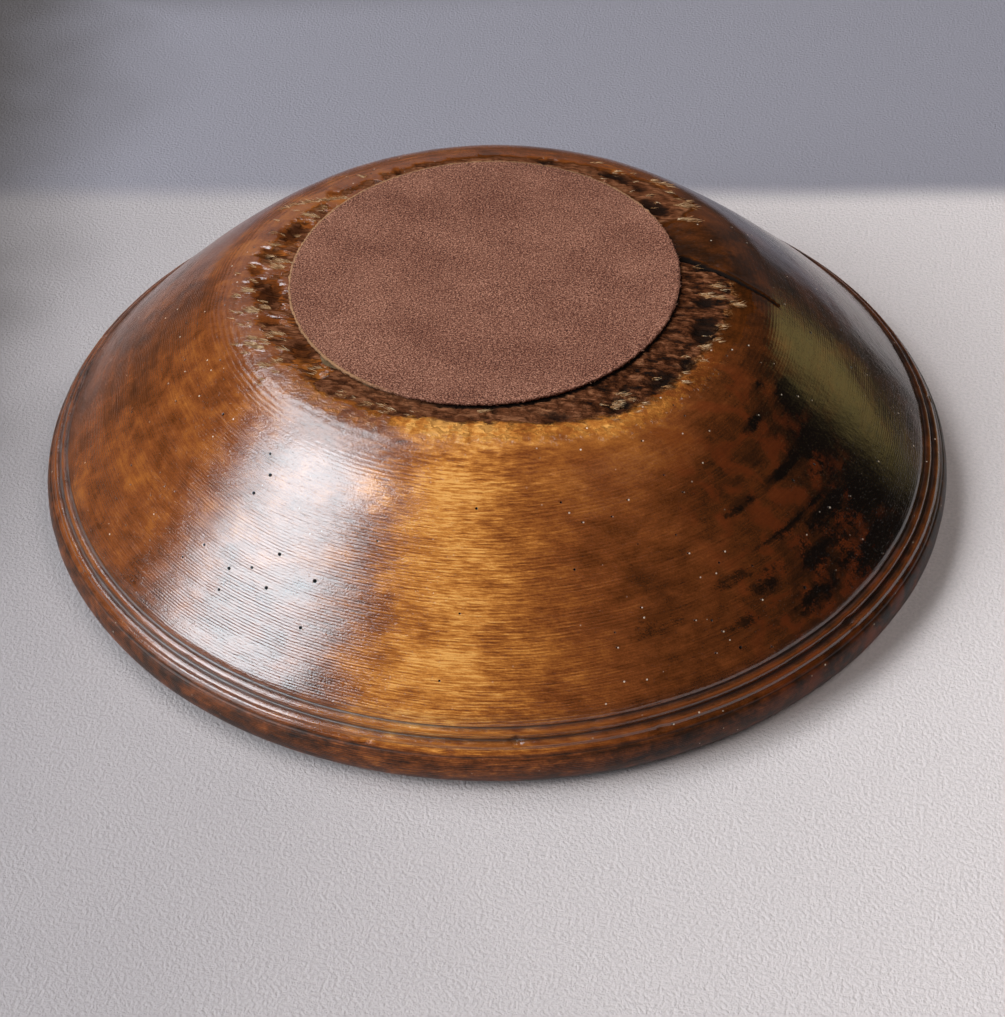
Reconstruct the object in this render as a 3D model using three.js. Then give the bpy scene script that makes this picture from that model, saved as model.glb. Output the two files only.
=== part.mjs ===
import * as THREE from "three";
import { mergeVertices } from "three/addons/utils/BufferGeometryUtils.js";

// A turned wooden dairy bowl that stands upside down on its rim, with a round felt
// pad glued to the flat of its foot. Sizes are in millimetres, and +Z is up.
// The origin is in the middle of the rim, on the surface that the rim stands on,
// and +X lies along the grain of the wood, where the rim is widest.

// The bowl's outside
const RIM_WIDTH = 437; // mean width over the roll that runs round the rim
const BOWL_HEIGHT = 108.5; // from the edge of the rim to the flat of the foot
const FOOT_WIDTH = 242.5; // where the line of the wall meets the flat of the foot
const FOOT_ROUNDING = 16; // how far the worn foot is rounded each way from that line
const WALL_BULGE = 2.7; // how far the wall swells past a straight line
const OVALNESS = 0.0275; // the wood has shrunk by this across the grain, and kept it along

// The moulding round the rim: a fat half-round roll, then two narrow reeds
const ROLL_RADIUS = 13.8;
const ROLL_END = 50; // degrees round the roll, from level, where the reeds start
const REED_SLOPE = 40; // degrees that the line of the reeds climbs from level
const LOWER_REED_WIDTH = 3.3;
const UPPER_REED_WIDTH = 3.4;
const REED_HEIGHT = 0.9;
const GROOVE_WIDTH = 1.9; // between the reeds
const GROOVE_DEPTH = 1.0;
const QUIRK_WIDTH = 1.6; // the soft cut where the wall starts
const QUIRK_DEPTH = 0.8;

// The bowl's inside
const WALL_THICKNESS = 13;
const FLOOR_THICKNESS = 17;
const FLOOR_ROUNDING = 57; // how far the floor sweeps each way into the wall
const MOUTH_DEPTH = 34; // from the rim's edge, where the wall turns steeper
const MOUTH_ROUNDING = 14;
const RIM_EDGE_WIDTH = 8.5; // the flat ring that the bowl stands on
const LIP_ROUNDING = 3.4; // from that ring into the mouth

// The felt pad and its glue
const FELT_MARGIN = 13; // bare wood between the pad and the end of the foot's flat
const FELT_THICKNESS = 1.5;
const FELT_EDGE_SOFTENING = 0.4;
const FELT_SHIFT_ALONG = -2.9; // the pad was stuck on a little off centre
const FELT_SHIFT_ACROSS = 7.0;
const GLUE_THICKNESS = 0.5;
const GLUE_MARGIN = 2.5; // the glue stops short of the pad's edge

// How finely the round shapes are faceted
const BOWL_SIDES = 90;
const PAD_SIDES = 72;
const ROLL_STEPS = 9;
const REED_STEPS = 4;
const WALL_STEPS = 5;
const FOOT_STEPS = 5;
const FLOOR_STEPS = 6;
const MOUTH_STEPS = 3;
const LIP_STEPS = 3;

// A profile is a list of points, each a distance from the axis and a height
const at = (radius, height) => new THREE.Vector2(radius, height);

// The point a given distance from one point on the way to another
function towards(from, to, distance) {
  const way = to.clone().sub(from);
  return from.clone().addScaledVector(way.normalize(), distance);
}

// A corner drawn as a smooth curve that starts and ends a given reach from it
function rounded(before, corner, after, reach, steps) {
  const room = Math.min(before.distanceTo(corner), corner.distanceTo(after));
  const start = towards(corner, before, Math.min(reach, 0.9 * room));
  const end = towards(corner, after, Math.min(reach, 0.9 * room));
  return new THREE.QuadraticBezierCurve(start, corner, end).getPoints(steps);
}

// A point part of the way along a line that swells by a bulge in its middle
function onBowedLine(start, end, bulge, part) {
  const way = end.clone().sub(start).normalize();
  const outward = at(way.y, -way.x);
  const swell = 4 * bulge * part * (1 - part);
  return start.clone().lerp(end, part).addScaledVector(outward, swell);
}

// A closed profile turned about the Z axis into one closed solid
function turned(profile, sides) {
  const lathe = new THREE.LatheGeometry(profile, sides);
  lathe.deleteAttribute("normal");
  lathe.deleteAttribute("uv");
  const welded = mergeVertices(lathe, 1e-4);
  const kept = [];
  const index = welded.getIndex();
  for (let i = 0; i < index.count; i += 3) {
    const corners = [index.getX(i), index.getX(i + 1), index.getX(i + 2)];
    if (new Set(corners).size === 3) kept.push(...corners);
  }
  welded.setIndex(kept);
  welded.rotateX(Math.PI / 2);
  return welded;
}

// The moulding's points, in order from the edge of the rim up to the wall
function mouldingProfile(rollCentre) {
  const points = [];
  for (let step = 0; step <= ROLL_STEPS; step++) {
    const turn = THREE.MathUtils.degToRad(-90 + (step / ROLL_STEPS) * (90 + ROLL_END));
    const round = at(Math.cos(turn), Math.sin(turn));
    points.push(rollCentre.clone().addScaledVector(round, ROLL_RADIUS));
  }
  const slope = THREE.MathUtils.degToRad(REED_SLOPE);
  const along = at(-Math.cos(slope), Math.sin(slope));
  const outward = at(Math.sin(slope), Math.cos(slope));
  const start = points.at(-1).clone();
  const onBand = (distance, proud) =>
    start.clone().addScaledVector(along, distance).addScaledVector(outward, proud);
  let reached = 0;
  const addReed = (width) => {
    for (let step = 1; step <= REED_STEPS; step++) {
      const part = step / REED_STEPS;
      points.push(onBand(reached + width * part, REED_HEIGHT * Math.sin(Math.PI * part)));
    }
    reached += width;
  };
  const addCut = (width, depth) => {
    points.push(onBand(reached + width / 2, -depth));
    points.push(onBand(reached + width, 0));
    reached += width;
  };
  addReed(LOWER_REED_WIDTH);
  addCut(GROOVE_WIDTH, GROOVE_DEPTH);
  addReed(UPPER_REED_WIDTH);
  addCut(QUIRK_WIDTH, QUIRK_DEPTH);
  return points;
}

// The main points that the bowl's outline is drawn from
const rollCentre = at(RIM_WIDTH / 2 - ROLL_RADIUS, ROLL_RADIUS);
const moulding = mouldingProfile(rollCentre);
const wallStart = moulding.at(-1);
const footCorner = at(FOOT_WIDTH / 2, BOWL_HEIGHT);
const footFlatRadius = FOOT_WIDTH / 2 - FOOT_ROUNDING;

// The wall's inner face follows the outer one at the wall's thickness
function innerWallRadius(height) {
  const way = footCorner.clone().sub(wallStart).normalize();
  const inner = wallStart.clone().addScaledVector(at(way.y, -way.x), -WALL_THICKNESS);
  return inner.x + ((height - inner.y) * way.x) / way.y;
}

// The outside, from the moulding up the wall to the middle of the foot
function outsideProfile() {
  const wallLength = wallStart.distanceTo(footCorner);
  const wallEnd = 1 - FOOT_ROUNDING / wallLength;
  const points = [];
  for (let step = 1; step < WALL_STEPS; step++) {
    const part = (wallEnd * step) / WALL_STEPS;
    points.push(onBowedLine(wallStart, footCorner, WALL_BULGE, part));
  }
  const wallTop = onBowedLine(wallStart, footCorner, WALL_BULGE, wallEnd);
  const flatEnd = at(footFlatRadius, BOWL_HEIGHT);
  const curve = new THREE.QuadraticBezierCurve(wallTop, footCorner, flatEnd);
  return [...points, ...curve.getPoints(FOOT_STEPS), at(0, BOWL_HEIGHT)];
}

// The inside, from the middle of the floor down to the ring that the bowl stands on
function insideProfile() {
  const floorHeight = BOWL_HEIGHT - FLOOR_THICKNESS;
  const floorCentre = at(0, floorHeight);
  const floorEdge = at(innerWallRadius(floorHeight), floorHeight);
  const mouth = at(innerWallRadius(MOUTH_DEPTH), MOUTH_DEPTH);
  const ring = at(rollCentre.x - RIM_EDGE_WIDTH, 0);
  const lip = at(ring.x - LIP_ROUNDING, 0);
  const lipStart = towards(lip, mouth, LIP_ROUNDING);
  return [
    floorCentre,
    ...rounded(floorCentre, floorEdge, mouth, FLOOR_ROUNDING, FLOOR_STEPS),
    ...rounded(floorEdge, mouth, lip, MOUTH_ROUNDING, MOUTH_STEPS),
    ...new THREE.QuadraticBezierCurve(lipStart, lip, ring).getPoints(LIP_STEPS),
  ];
}

function makeBowl() {
  const outline = [...insideProfile(), ...moulding, ...outsideProfile()];
  const shape = turned(outline, BOWL_SIDES);
  shape.scale(1 + OVALNESS, 1 - OVALNESS, 1);
  const wood = new THREE.MeshStandardMaterial({ color: 0x6b3a1c, roughness: 0.35, metalness: 0 });
  const bowl = new THREE.Mesh(shape, wood);
  bowl.name = "bowl";
  return bowl;
}

const feltRadius = footFlatRadius - FELT_MARGIN;
const glueTop = BOWL_HEIGHT + GLUE_THICKNESS;

// A thin round layer between two heights, with its upper edge softened
function layer(radius, bottom, top, softening) {
  const edge = [at(radius, bottom), at(radius, top - softening), at(radius - softening, top)];
  return turned([at(0, bottom), ...edge, at(0, top)], PAD_SIDES);
}

function makeGlue() {
  const shape = layer(feltRadius - GLUE_MARGIN, BOWL_HEIGHT, glueTop, GLUE_THICKNESS / 2);
  const glue = new THREE.MeshStandardMaterial({ color: 0xb9a683, roughness: 0.5, metalness: 0 });
  const film = new THREE.Mesh(shape, glue);
  film.name = "felt_glue";
  return film;
}

function makeFelt() {
  const shape = layer(feltRadius, glueTop, glueTop + FELT_THICKNESS, FELT_EDGE_SOFTENING);
  const felt = new THREE.MeshStandardMaterial({ color: 0x6b4b45, roughness: 1, metalness: 0 });
  const pad = new THREE.Mesh(shape, felt);
  pad.name = "felt_pad";
  return pad;
}

const feltAndGlue = new THREE.Group();
feltAndGlue.add(makeGlue(), makeFelt());
feltAndGlue.position.set(FELT_SHIFT_ALONG, FELT_SHIFT_ACROSS, 0);

const dairyBowl = new THREE.Group();
dairyBowl.add(makeBowl(), feltAndGlue);

export default dairyBowl;
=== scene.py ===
import math
from dataclasses import dataclass

import bpy
import numpy as np
from mathutils import Matrix, Quaternion, Vector, noise


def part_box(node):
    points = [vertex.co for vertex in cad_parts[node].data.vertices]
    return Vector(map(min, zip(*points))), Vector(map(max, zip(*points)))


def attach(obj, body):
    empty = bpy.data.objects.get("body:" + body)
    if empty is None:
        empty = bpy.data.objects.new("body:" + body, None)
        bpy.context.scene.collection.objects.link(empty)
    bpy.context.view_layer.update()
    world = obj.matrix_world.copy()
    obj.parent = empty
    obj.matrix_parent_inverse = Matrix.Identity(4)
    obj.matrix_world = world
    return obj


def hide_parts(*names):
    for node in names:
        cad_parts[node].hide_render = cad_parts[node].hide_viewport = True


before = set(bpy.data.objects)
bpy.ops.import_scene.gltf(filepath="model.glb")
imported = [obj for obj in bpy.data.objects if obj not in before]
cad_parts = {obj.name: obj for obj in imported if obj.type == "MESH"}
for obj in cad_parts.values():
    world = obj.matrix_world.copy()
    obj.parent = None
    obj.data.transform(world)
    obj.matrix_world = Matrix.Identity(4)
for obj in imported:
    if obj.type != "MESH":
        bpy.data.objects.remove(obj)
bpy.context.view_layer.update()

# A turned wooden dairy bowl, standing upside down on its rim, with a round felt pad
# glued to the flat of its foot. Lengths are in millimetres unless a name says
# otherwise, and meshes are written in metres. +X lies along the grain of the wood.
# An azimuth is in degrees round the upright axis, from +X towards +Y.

MM = 0.001

# Sizes from the frame
BOWL_BOX = np.array(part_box("bowl")) / MM
GLUE_BOX = np.array(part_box("felt_glue")) / MM
FELT_BOX = np.array(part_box("felt_pad")) / MM
BOWL_HEIGHT = BOWL_BOX[1, 2]
FELT_CENTRE = FELT_BOX.mean(axis=0)[:2]
FELT_RADIUS = (FELT_BOX[1, 0] - FELT_BOX[0, 0]) / 2
FELT_UNDERSIDE = FELT_BOX[0, 2]
FELT_TOP = FELT_BOX[1, 2]

# The bowl's outside
RIM_WIDTH = 437
OVALNESS = 0.0275
FOOT_WIDTH = 242.5
FOOT_ROUNDING = 16
WALL_BULGE = 2.7

# The moulding round the rim
ROLL_RADIUS = 13.8
ROLL_END = 50
SCORE_TURN = 36
SCORE_HALF_TURN = 1.5
SCORE_DEPTH = 0.35
REED_SLOPE = 40
LOWER_REED_WIDTH = 3.3
UPPER_REED_WIDTH = 3.4
REED_HEIGHT = 0.9
GROOVE_WIDTH = 1.9
GROOVE_DEPTH = 1.0
QUIRK_WIDTH = 1.6
QUIRK_DEPTH = 0.8

# The bowl's inside
WALL_THICKNESS = 13
FLOOR_THICKNESS = 17
FLOOR_ROUNDING = 57
MOUTH_DEPTH = 34
MOUTH_ROUNDING = 14
RIM_EDGE_WIDTH = 8.5
LIP_ROUNDING = 3.4

# Columns of faces round each part of the bowl
FOOT_COLUMNS = 960
MOULDING_COLUMNS = 640
WALL_COLUMNS = 320
INSIDE_COLUMNS = 160
COARSE_COLUMNS = 240
MIDDLE_COLUMNS = 40

# Rows of faces: how many there are up the wall, round the bend into the foot and over the
# torn part of the foot's flat, and the radii of the rest with their columns
WALL_ROWS = 37
BEND_ROWS = 34
TORN_ROWS = 24
TORN_ROWS_END = 83
ROWS_UNDER_FELT = ((78, COARSE_COLUMNS), (30, MIDDLE_COLUMNS), (0, 1))
INSIDE_FLOOR_ROWS = ((0, 1), (24, MIDDLE_COLUMNS))
INSIDE_WALL_START = 48

# Worn hollows in the flat of the foot: azimuth, radius, half length round the foot,
# half width along the radius, and depth
HOLLOWS = (
    (-167, 100, 9, 5.5, 1.9), (-172, 106, 4, 5, 1.4), (-177, 109, 5, 5, 1.1),
    (-156, 101, 4, 4, 1.0), (-141, 94, 11, 5, 1.4), (-131, 99, 8, 2.5, 0.8),
    (165, 103, 9, 6, 1.8), (176, 106, 5, 6, 1.5), (127, 106, 2, 4, 1.6), (146, 108, 4, 4, 0.9),
    (-61, 99, 9, 4, 1.0), (-44.5, 103, 5, 5, 1.8), (-39.5, 96, 3.5, 3, 1.6),
    (-30, 103, 8, 6, 1.2), (-22, 106, 6, 4, 1.2), (-8, 103, 11, 5.5, 2.1),
    (2, 100, 5, 6, 1.7), (17, 100, 3, 6, 1.3), (22, 107, 4, 5, 0.3),
    (47, 102, 9, 5, 1.8), (65, 110, 9, 4, 1.7), (57, 108, 5, 4, 1.2), (85, 108, 9, 3, 0.9),
)

# Where the torn wood ends: azimuth and radius
TORN_EDGE = (
    (-180, 108), (-140, 105), (-120, 102.5), (-100, 98), (-75, 97.5), (-60, 103),
    (-43, 109), (-15, 107.5), (6, 113), (18, 108), (32, 103), (44, 118), (56, 116), (75, 111),
    (110, 108), (150, 105), (180, 108),
)

# Stretches of the foot: the azimuths where each begins, is full, starts to end, and has ended
SCUFFED_FRONT = (-142, -120, -30, -8)
WORN_FRONT = (-106, -94, 24, 34)
WHOLE_BEYOND_SPLIT = (4, 8, 37, 43)
# The azimuths where crazing begins and is full
CRAZING = (-108, -96)
# The torn wood breaks up into strands within so many degrees of this azimuth
STRANDS_AT = -178
STRANDS_SPREAD = 50

# Noise that makes the foot uneven: sizes of its lumps, its grit, its fine grit and its strands
FOOT_NOISE = ((9, 7, 7), (4.2, 2.4, 2.4), (2.6, 1.2, 1.2), (7.5, 1.3, 1.3))

# Tufts of torn fibre: azimuth, radius, half length along the grain, half width across
# it, and how pale they are
TUFTS = (
    (-168.5, 109, 3.2, 1.5, 1.0), (-167, 114.5, 2.4, 0.8, 1.0), (-160.3, 107.5, 4.2, 1.7, 1.0),
    (-161.2, 101, 2.3, 1.8, 0.8), (-149.6, 110.5, 2.6, 1.2, 1.0), (-147.6, 112.5, 2.4, 1.1, 1.0),
    (-145.7, 110, 2.4, 1.1, 1.0), (-147.5, 106, 1.8, 0.8, 0.9), (-149, 99, 3.6, 1.6, 0.8),
    (-142.4, 101, 3.0, 0.9, 0.9), (-138.8, 112, 3.6, 1.7, 0.6), (-138, 107, 3.2, 1.2, 0.5),
    (-173, 108, 2.4, 0.6, 0.7), (-164.5, 102, 1.6, 0.8, 0.8), (-179, 98, 3.4, 2.0, 0.7),
    (171.5, 104, 4.4, 1.0, 0.7), (156, 103, 4.0, 1.8, 0.7), (178, 97, 4.6, 2.4, 0.6),
    (134, 111, 2.0, 1.0, 0.6), (-131, 95, 6.5, 1.8, 0.45), (-110, 97.5, 2.2, 0.7, 0.7),
    (-103.5, 97, 1.8, 0.7, 0.7), (-96, 94, 3.4, 0.7, 0.6), (-80.5, 90, 2.2, 1.0, 0.8),
    (-47.3, 102, 2.6, 0.6, 0.9), (-46, 102, 2.6, 0.6, 0.9), (-43.5, 97, 3.6, 0.7, 0.7),
    (-29, 111, 2.0, 1.0, 0.6), (-33, 106, 1.8, 0.8, 0.6), (-15, 106, 2.6, 1.8, 0.6),
    (-21, 101, 2.0, 0.7, 0.7), (-6, 109.5, 2.4, 1.0, 0.6), (-11, 109, 1.8, 0.8, 0.6),
    (3, 114, 3.4, 1.6, 0.7), (5, 106, 2.8, 1.2, 0.8), (9.5, 103.5, 4.4, 1.6, 0.7),
    (6, 99, 3.6, 1.2, 0.6), (45, 115, 7.0, 3.2, 0.45), (39, 108, 5.2, 1.8, 0.5),
    (67, 114, 2.6, 1.8, 0.55), (19, 97, 3.0, 1.2, 0.4), (56, 121, 7.0, 1.4, 0.5),
)

# Where smaller wisps are strewn: first and last azimuth, inner and outer radius, and count
SMALL_TUFTS = (
    (-180, -132, 98, 120, 34), (150, 180, 98, 116, 12), (-132, -95, 94, 102, 12),
    (-50, -20, 98, 111, 13), (-20, 14, 99, 113, 12), (40, 75, 102, 120, 20),
)

# The open split on the right of the foot and the lifted hairline on the left, as
# points (along the grain, across it) from the felt outwards
SPLIT = ((83, 35.5), (89, 35.5), (94, 33.5), (107, 27.5), (118, 22), (123, 20.5), (137, 18))
SPLIT_WIDTH = 2.0
SPLIT_DEPTH = 1.8
HAIRLINE = ((-82, 58), (-93, 54.5), (-104, 51), (-118, 45))

# Worm holes seen on the wall: azimuth, distance up the wall from the moulding, radius
WORM_HOLES = (
    (-105.0, 25.5, 0.75), (-104.8, 48.5, 0.9), (-118.4, 38.7, 0.8), (-111.6, 53.7, 0.8),
    (-119.4, 83.7, 0.8), (-115.2, 43.2, 0.65), (-111.0, 37.3, 0.8), (-120.4, 71.2, 0.75),
    (-121.4, 90.7, 0.6), (-124.2, 39.1, 0.6), (-117.6, 26.2, 0.6), (-86.0, 16.7, 0.5),
    (-83.2, 45.3, 0.45), (-126.2, 30.3, 0.5), (-97.0, 71.0, 0.45), (-66.0, 62.0, 0.5),
    (-80.8, 104.5, 0.55), (-66.8, 95.0, 0.45),
)
SCATTERED_HOLES = 44
# Between these azimuths every worm hole is one of those seen
HOLES_SEEN_FROM = -130
HOLES_SEEN_TO = -55
HOLE_SIDES = 8
# Rings of a worm hole, from the wall inwards: width for a radius of one, and depth
HOLE_RINGS = ((1.3, 0), (0.95, 0), (0.82, 0.12), (0.72, 2.4))
# Steps (up, round) from the middle of a hole to the vertices round it, and to the four
# faces that it takes the place of
ROUND_A_HOLE = ((0, 1), (1, 1), (1, 0), (1, -1), (0, -1), (-1, -1), (-1, 0), (-1, 1))
FACES_AT_A_HOLE = ((0, 0), (0, -1), (-1, 0), (-1, -1))

# Black stains on the wall: azimuth, distance up the wall, half length round it in
# degrees, half width up it, and strength
STAINS = (
    (-37, 65, 6, 2.4, 0.8), (-26, 65, 8, 3.6, 1.0), (-16.5, 64, 6, 9, 1.0),
    (-24, 90, 5, 3.6, 0.8), (-18, 98, 4, 3, 0.6), (-13, 82, 5, 12, 0.9),
    (-30, 45, 14, 3.6, 0.8), (-24, 38, 9, 7, 0.8), (-15, 30, 8, 16, 0.9), (-9, 18, 7, 20, 0.9),
    (-30, 27, 6, 5, 0.8), (-40, 30, 4, 7, 0.7), (-44, 39, 5, 4, 0.6), (-33, 12, 6, 8, 0.6),
    (-20, 9, 9, 9, 0.8), (-46, 20, 6, 6, 0.5), (-8, 50, 6, 12, 0.7), (-57, 33, 7, 9, 0.35),
    (-27, 26, 18, 30, 0.38), (-17, 62, 10, 24, 0.42), (-10, 30, 9, 34, 0.5),
)

# Chips out of the reeds: azimuth, height, radius and depth
RIM_NICKS = (
    (-76.5, 27.0, 2.6, 0.9), (-93.5, 24.0, 2.0, 0.7), (-84, 23.5, 2.2, 0.7), (-67.5, 28.5, 2.2, 0.8),
    (-60, 24.5, 2.8, 0.8), (-118, 28.5, 2.0, 0.6), (-139, 24, 2.6, 0.7), (-32, 27, 3.2, 0.8),
    (-163, 28, 2.4, 0.7), (14, 25, 2.6, 0.8), (62, 27, 3.0, 0.8), (118, 24, 2.8, 0.8),
)

# The photograph's camera, in the frame's own directions
GRAIN_TURN = 13.25
CAMERA_BACK = 699.4
CAMERA_HEIGHT = 657.8
CAMERA_YAW = 0.23
CAMERA_PITCH = 44.9
CAMERA_ROLL = -2.41
CAMERA_LENS = 66.6
CAMERA_SENSOR = 36

# The window and the room's light
WINDOW = {
    "azimuth": -146, "elevation": 33, "distance": 5200, "width": 3080, "height": 4200, "lean": 16,
    "radiance": 9.2, "colour": (0.88, 0.98, 1.05),
}
UPPER_WINDOW = {
    "azimuth": 168, "elevation": 58, "distance": 5200, "width": 4400, "height": 1500, "lean": 0,
    "radiance": 7.0, "colour": (0.90, 0.98, 1.04),
}
SKYLIGHT = {
    "azimuth": -20, "elevation": 60, "distance": 5200, "width": 2400, "height": 2400, "lean": 0,
    "radiance": 5.2, "colour": (1.0, 1.0, 1.0),
}
ROOM_COLOUR = (0.016, 0.016, 0.017)
# Lit places on the walls of the room: the first lies under the others
GLOWS = (
    {"azimuth": 80, "elevation": 2, "inner": 18, "outer": 32, "colour": (0.10, 0.080, 0.077)},
    {"azimuth": 120, "elevation": 24, "inner": 10, "outer": 25, "colour": (0.33, 0.31, 0.33)},
    {"azimuth": 50, "elevation": 6, "inner": 2, "outer": 15, "colour": (0.72, 0.55, 0.20)},
)
FLOOR_COLOUR = (0.65, 0.56, 0.535)
# Shade painted on the floor: darker to the left, blue-grey behind the bowl, and nearly black where most
# shaded
LEFT_FLOOR_PAINTED_SHADE = (0.25, 0.22, 0.222)
BACK_FLOOR_PAINTED_SHADE = (0.238, 0.218, 0.243)
FLOOR_PAINTED_SHADOW = (0.038, 0.028, 0.020)
FLOOR_WEAVE_COLOUR = (0.2, 0.18, 0.19)
FLOOR_WIDTH = 24000


# Numbers and points

def smooth_step(low, high, value):
    part = np.clip((value - low) / (high - low), 0, 1)
    return part * part * (3 - 2 * part)


def stretch(value, low, low_end, high, high_end):
    """1 between low_end and high, falling to 0 at low and at high_end."""
    return smooth_step(low, low_end, value) * (1 - smooth_step(high, high_end, value))


def noise_at(points, size, seed):
    """Noise from -1 to 1 at each point, whose lumps have the given size along X, Y and Z."""
    scaled = points / np.asarray(size, float) + seed * 17.3
    return np.array([noise.noise(Vector(place)) for place in scaled])


def polar(azimuth, radius):
    turn = np.radians(azimuth)
    return np.array([radius * np.cos(turn), radius * np.sin(turn)])


def towards(start, end, distance):
    way = end - start
    return start + way / np.linalg.norm(way) * distance


def quadratic(start, corner, end, steps):
    part = np.linspace(0, 1, steps + 1)[:, None]
    return (1 - part) ** 2 * start + 2 * part * (1 - part) * corner + part ** 2 * end


def straight(start, end, steps):
    part = np.linspace(0, 1, steps + 1)[:, None]
    return start + (end - start) * part


def azimuth_gap(azimuths, place):
    return (azimuths - place + 180) % 360 - 180


# The bowl's outline, in rows from the middle of the floor inside, over the rim and up
# to the middle of the foot

@dataclass
class Row:
    radius: float
    height: float
    columns: int
    zone: str
    grime_and_shade: float = 0.0
    worn: float = 0.0


def rows_along(points, columns, zone):
    return [Row(*point, columns, zone) for point in points]


def roll_centre():
    return np.array([RIM_WIDTH / 2 - ROLL_RADIUS, ROLL_RADIUS])


def roll_rows():
    """Up the roll from the edge it stands on, with closer rows at the scored line."""
    turns = [*np.linspace(-90, 20, 14), *np.linspace(25, SCORE_TURN - 3, 3)]
    turns += [SCORE_TURN - SCORE_HALF_TURN, SCORE_TURN, SCORE_TURN + SCORE_HALF_TURN]
    turns += list(np.linspace(SCORE_TURN + 4, ROLL_END, 4))
    rows = []
    for turn in turns:
        # The scored line is darkened: partly grime, partly painted shade
        score = math.exp(-(((turn - SCORE_TURN) / SCORE_HALF_TURN) ** 2))
        point = roll_centre() + polar(turn, ROLL_RADIUS - SCORE_DEPTH * score)
        columns = MOULDING_COLUMNS if turn > SCORE_TURN + SCORE_HALF_TURN else WALL_COLUMNS
        rows.append(Row(*point, columns, "roll", grime_and_shade=0.6 * score))
    return rows


def roll_end():
    """Where the roll meets the moulding."""
    last = roll_rows()[-1]
    return np.array([last.radius, last.height])


def moulding_rows(start):
    """The two reeds, each with a groove above it."""
    slope = np.radians(REED_SLOPE)
    along = np.array([-np.cos(slope), np.sin(slope)])
    outward = np.array([along[1], -along[0]])
    members = (
        (LOWER_REED_WIDTH, REED_HEIGHT, 7),
        (GROOVE_WIDTH, -GROOVE_DEPTH, 4),
        (UPPER_REED_WIDTH, REED_HEIGHT, 7),
        (QUIRK_WIDTH, -QUIRK_DEPTH, 4),
    )
    rows = []
    reached = 0
    for width, height, steps in members:
        for part in np.linspace(0, 1, steps + 1)[1:]:
            swell = math.sin(math.pi * part)
            point = start + along * (reached + width * part) + outward * height * swell
            # The grooves, and the reeds' ends, are darkened: partly grime, partly painted shade
            grime_and_shade = swell if height < 0 else 0.5 * (1 - swell)
            worn = swell if height > 0 else 0
            rows.append(Row(*point, MOULDING_COLUMNS, "moulding", grime_and_shade, worn))
        reached += width
    return rows


def bowed_point(start, end, part):
    way = (end - start) / np.linalg.norm(end - start)
    outward = np.array([way[1], -way[0]])
    return start + (end - start) * part + outward * 4 * WALL_BULGE * part * (1 - part)


def wall_ends():
    """The lower end of the outside wall, at the moulding, and its upper, at the foot."""
    last = moulding_rows(roll_end())[-1]
    return np.array([last.radius, last.height]), np.array([FOOT_WIDTH / 2, BOWL_HEIGHT])


def wall_and_foot_rows():
    start, corner = wall_ends()
    length = np.linalg.norm(corner - start)
    last_part = 1 - FOOT_ROUNDING / length
    rows = []
    for part in np.linspace(0, last_part, WALL_ROWS + 1)[1:-1]:
        point = bowed_point(start, corner, part)
        # The wall is darker where it meets the moulding
        grime_and_shade = 0.7 * max(0, 1 - part * length / 4)
        rows.append(Row(*point, WALL_COLUMNS, "wall", grime_and_shade))
    flat_start = np.array([FOOT_WIDTH / 2 - FOOT_ROUNDING, BOWL_HEIGHT])
    shoulder = quadratic(bowed_point(start, corner, last_part), corner, flat_start, BEND_ROWS)
    flat = straight(flat_start, np.array([TORN_ROWS_END, BOWL_HEIGHT]), TORN_ROWS)[1:]
    rows += rows_along(np.vstack([shoulder, flat]), FOOT_COLUMNS, "foot")
    return rows + [Row(reach, BOWL_HEIGHT, count, "under_felt") for reach, count in ROWS_UNDER_FELT]


def inside_rows():
    start, corner = wall_ends()
    way = (corner - start) / np.linalg.norm(corner - start)
    inner = start - np.array([way[1], -way[0]]) * WALL_THICKNESS

    def inner_wall(height):
        return np.array([inner[0] + (height - inner[1]) * way[0] / way[1], height])

    floor_height = BOWL_HEIGHT - FLOOR_THICKNESS
    floor_edge = inner_wall(floor_height)
    mouth = inner_wall(MOUTH_DEPTH)
    ring = np.array([roll_centre()[0] - RIM_EDGE_WIDTH, 0])
    lip = ring - np.array([LIP_ROUNDING, 0])
    floor_start = towards(floor_edge, np.array([0, floor_height]), FLOOR_ROUNDING)
    floor_end = towards(floor_edge, mouth, FLOOR_ROUNDING)
    mouth_start = towards(mouth, floor_edge, MOUTH_ROUNDING)
    mouth_end = towards(mouth, lip, MOUTH_ROUNDING)
    lip_start = towards(lip, mouth, LIP_ROUNDING)
    rows = [Row(reach, floor_height, count, "inside") for reach, count in INSIDE_FLOOR_ROWS]
    wall = np.vstack([
        straight(np.array([INSIDE_WALL_START, floor_height]), floor_start, 2),
        quadratic(floor_start, floor_edge, floor_end, 12)[1:],
        straight(floor_end, mouth_start, 2)[1:],
        quadratic(mouth_start, mouth, mouth_end, 6)[1:],
        straight(mouth_end, lip_start, 3)[1:],
        quadratic(lip_start, lip, ring, 5)[1:],
    ])
    return rows + rows_along(wall, INSIDE_COLUMNS, "inside")


# How the foot is torn

def line_distance(points, line):
    """How far each point is from a line of joined stretches, and how far along it lies."""
    nearest = np.full(len(points), np.inf)
    along = np.zeros(len(points))
    passed = 0
    for start, end in zip(np.array(line[:-1], float), np.array(line[1:], float)):
        way = end - start
        length = np.linalg.norm(way)
        part = np.clip(((points - start) @ way) / length ** 2, 0, 1)
        gap = np.linalg.norm(points - (start + part[:, None] * way), axis=1)
        closer = gap < nearest
        nearest = np.where(closer, gap, nearest)
        along = np.where(closer, passed + part * length, along)
        passed += length
    return nearest, along / passed


def round_radius(flat):
    """The radius that each point would have if the bowl hadn't shrunk across the grain."""
    return np.hypot(flat[:, 0] / (1 + OVALNESS), flat[:, 1] / (1 - OVALNESS))


def oval_place(azimuth, radius):
    return polar(azimuth, radius) * [1 + OVALNESS, 1 - OVALNESS]


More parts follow.
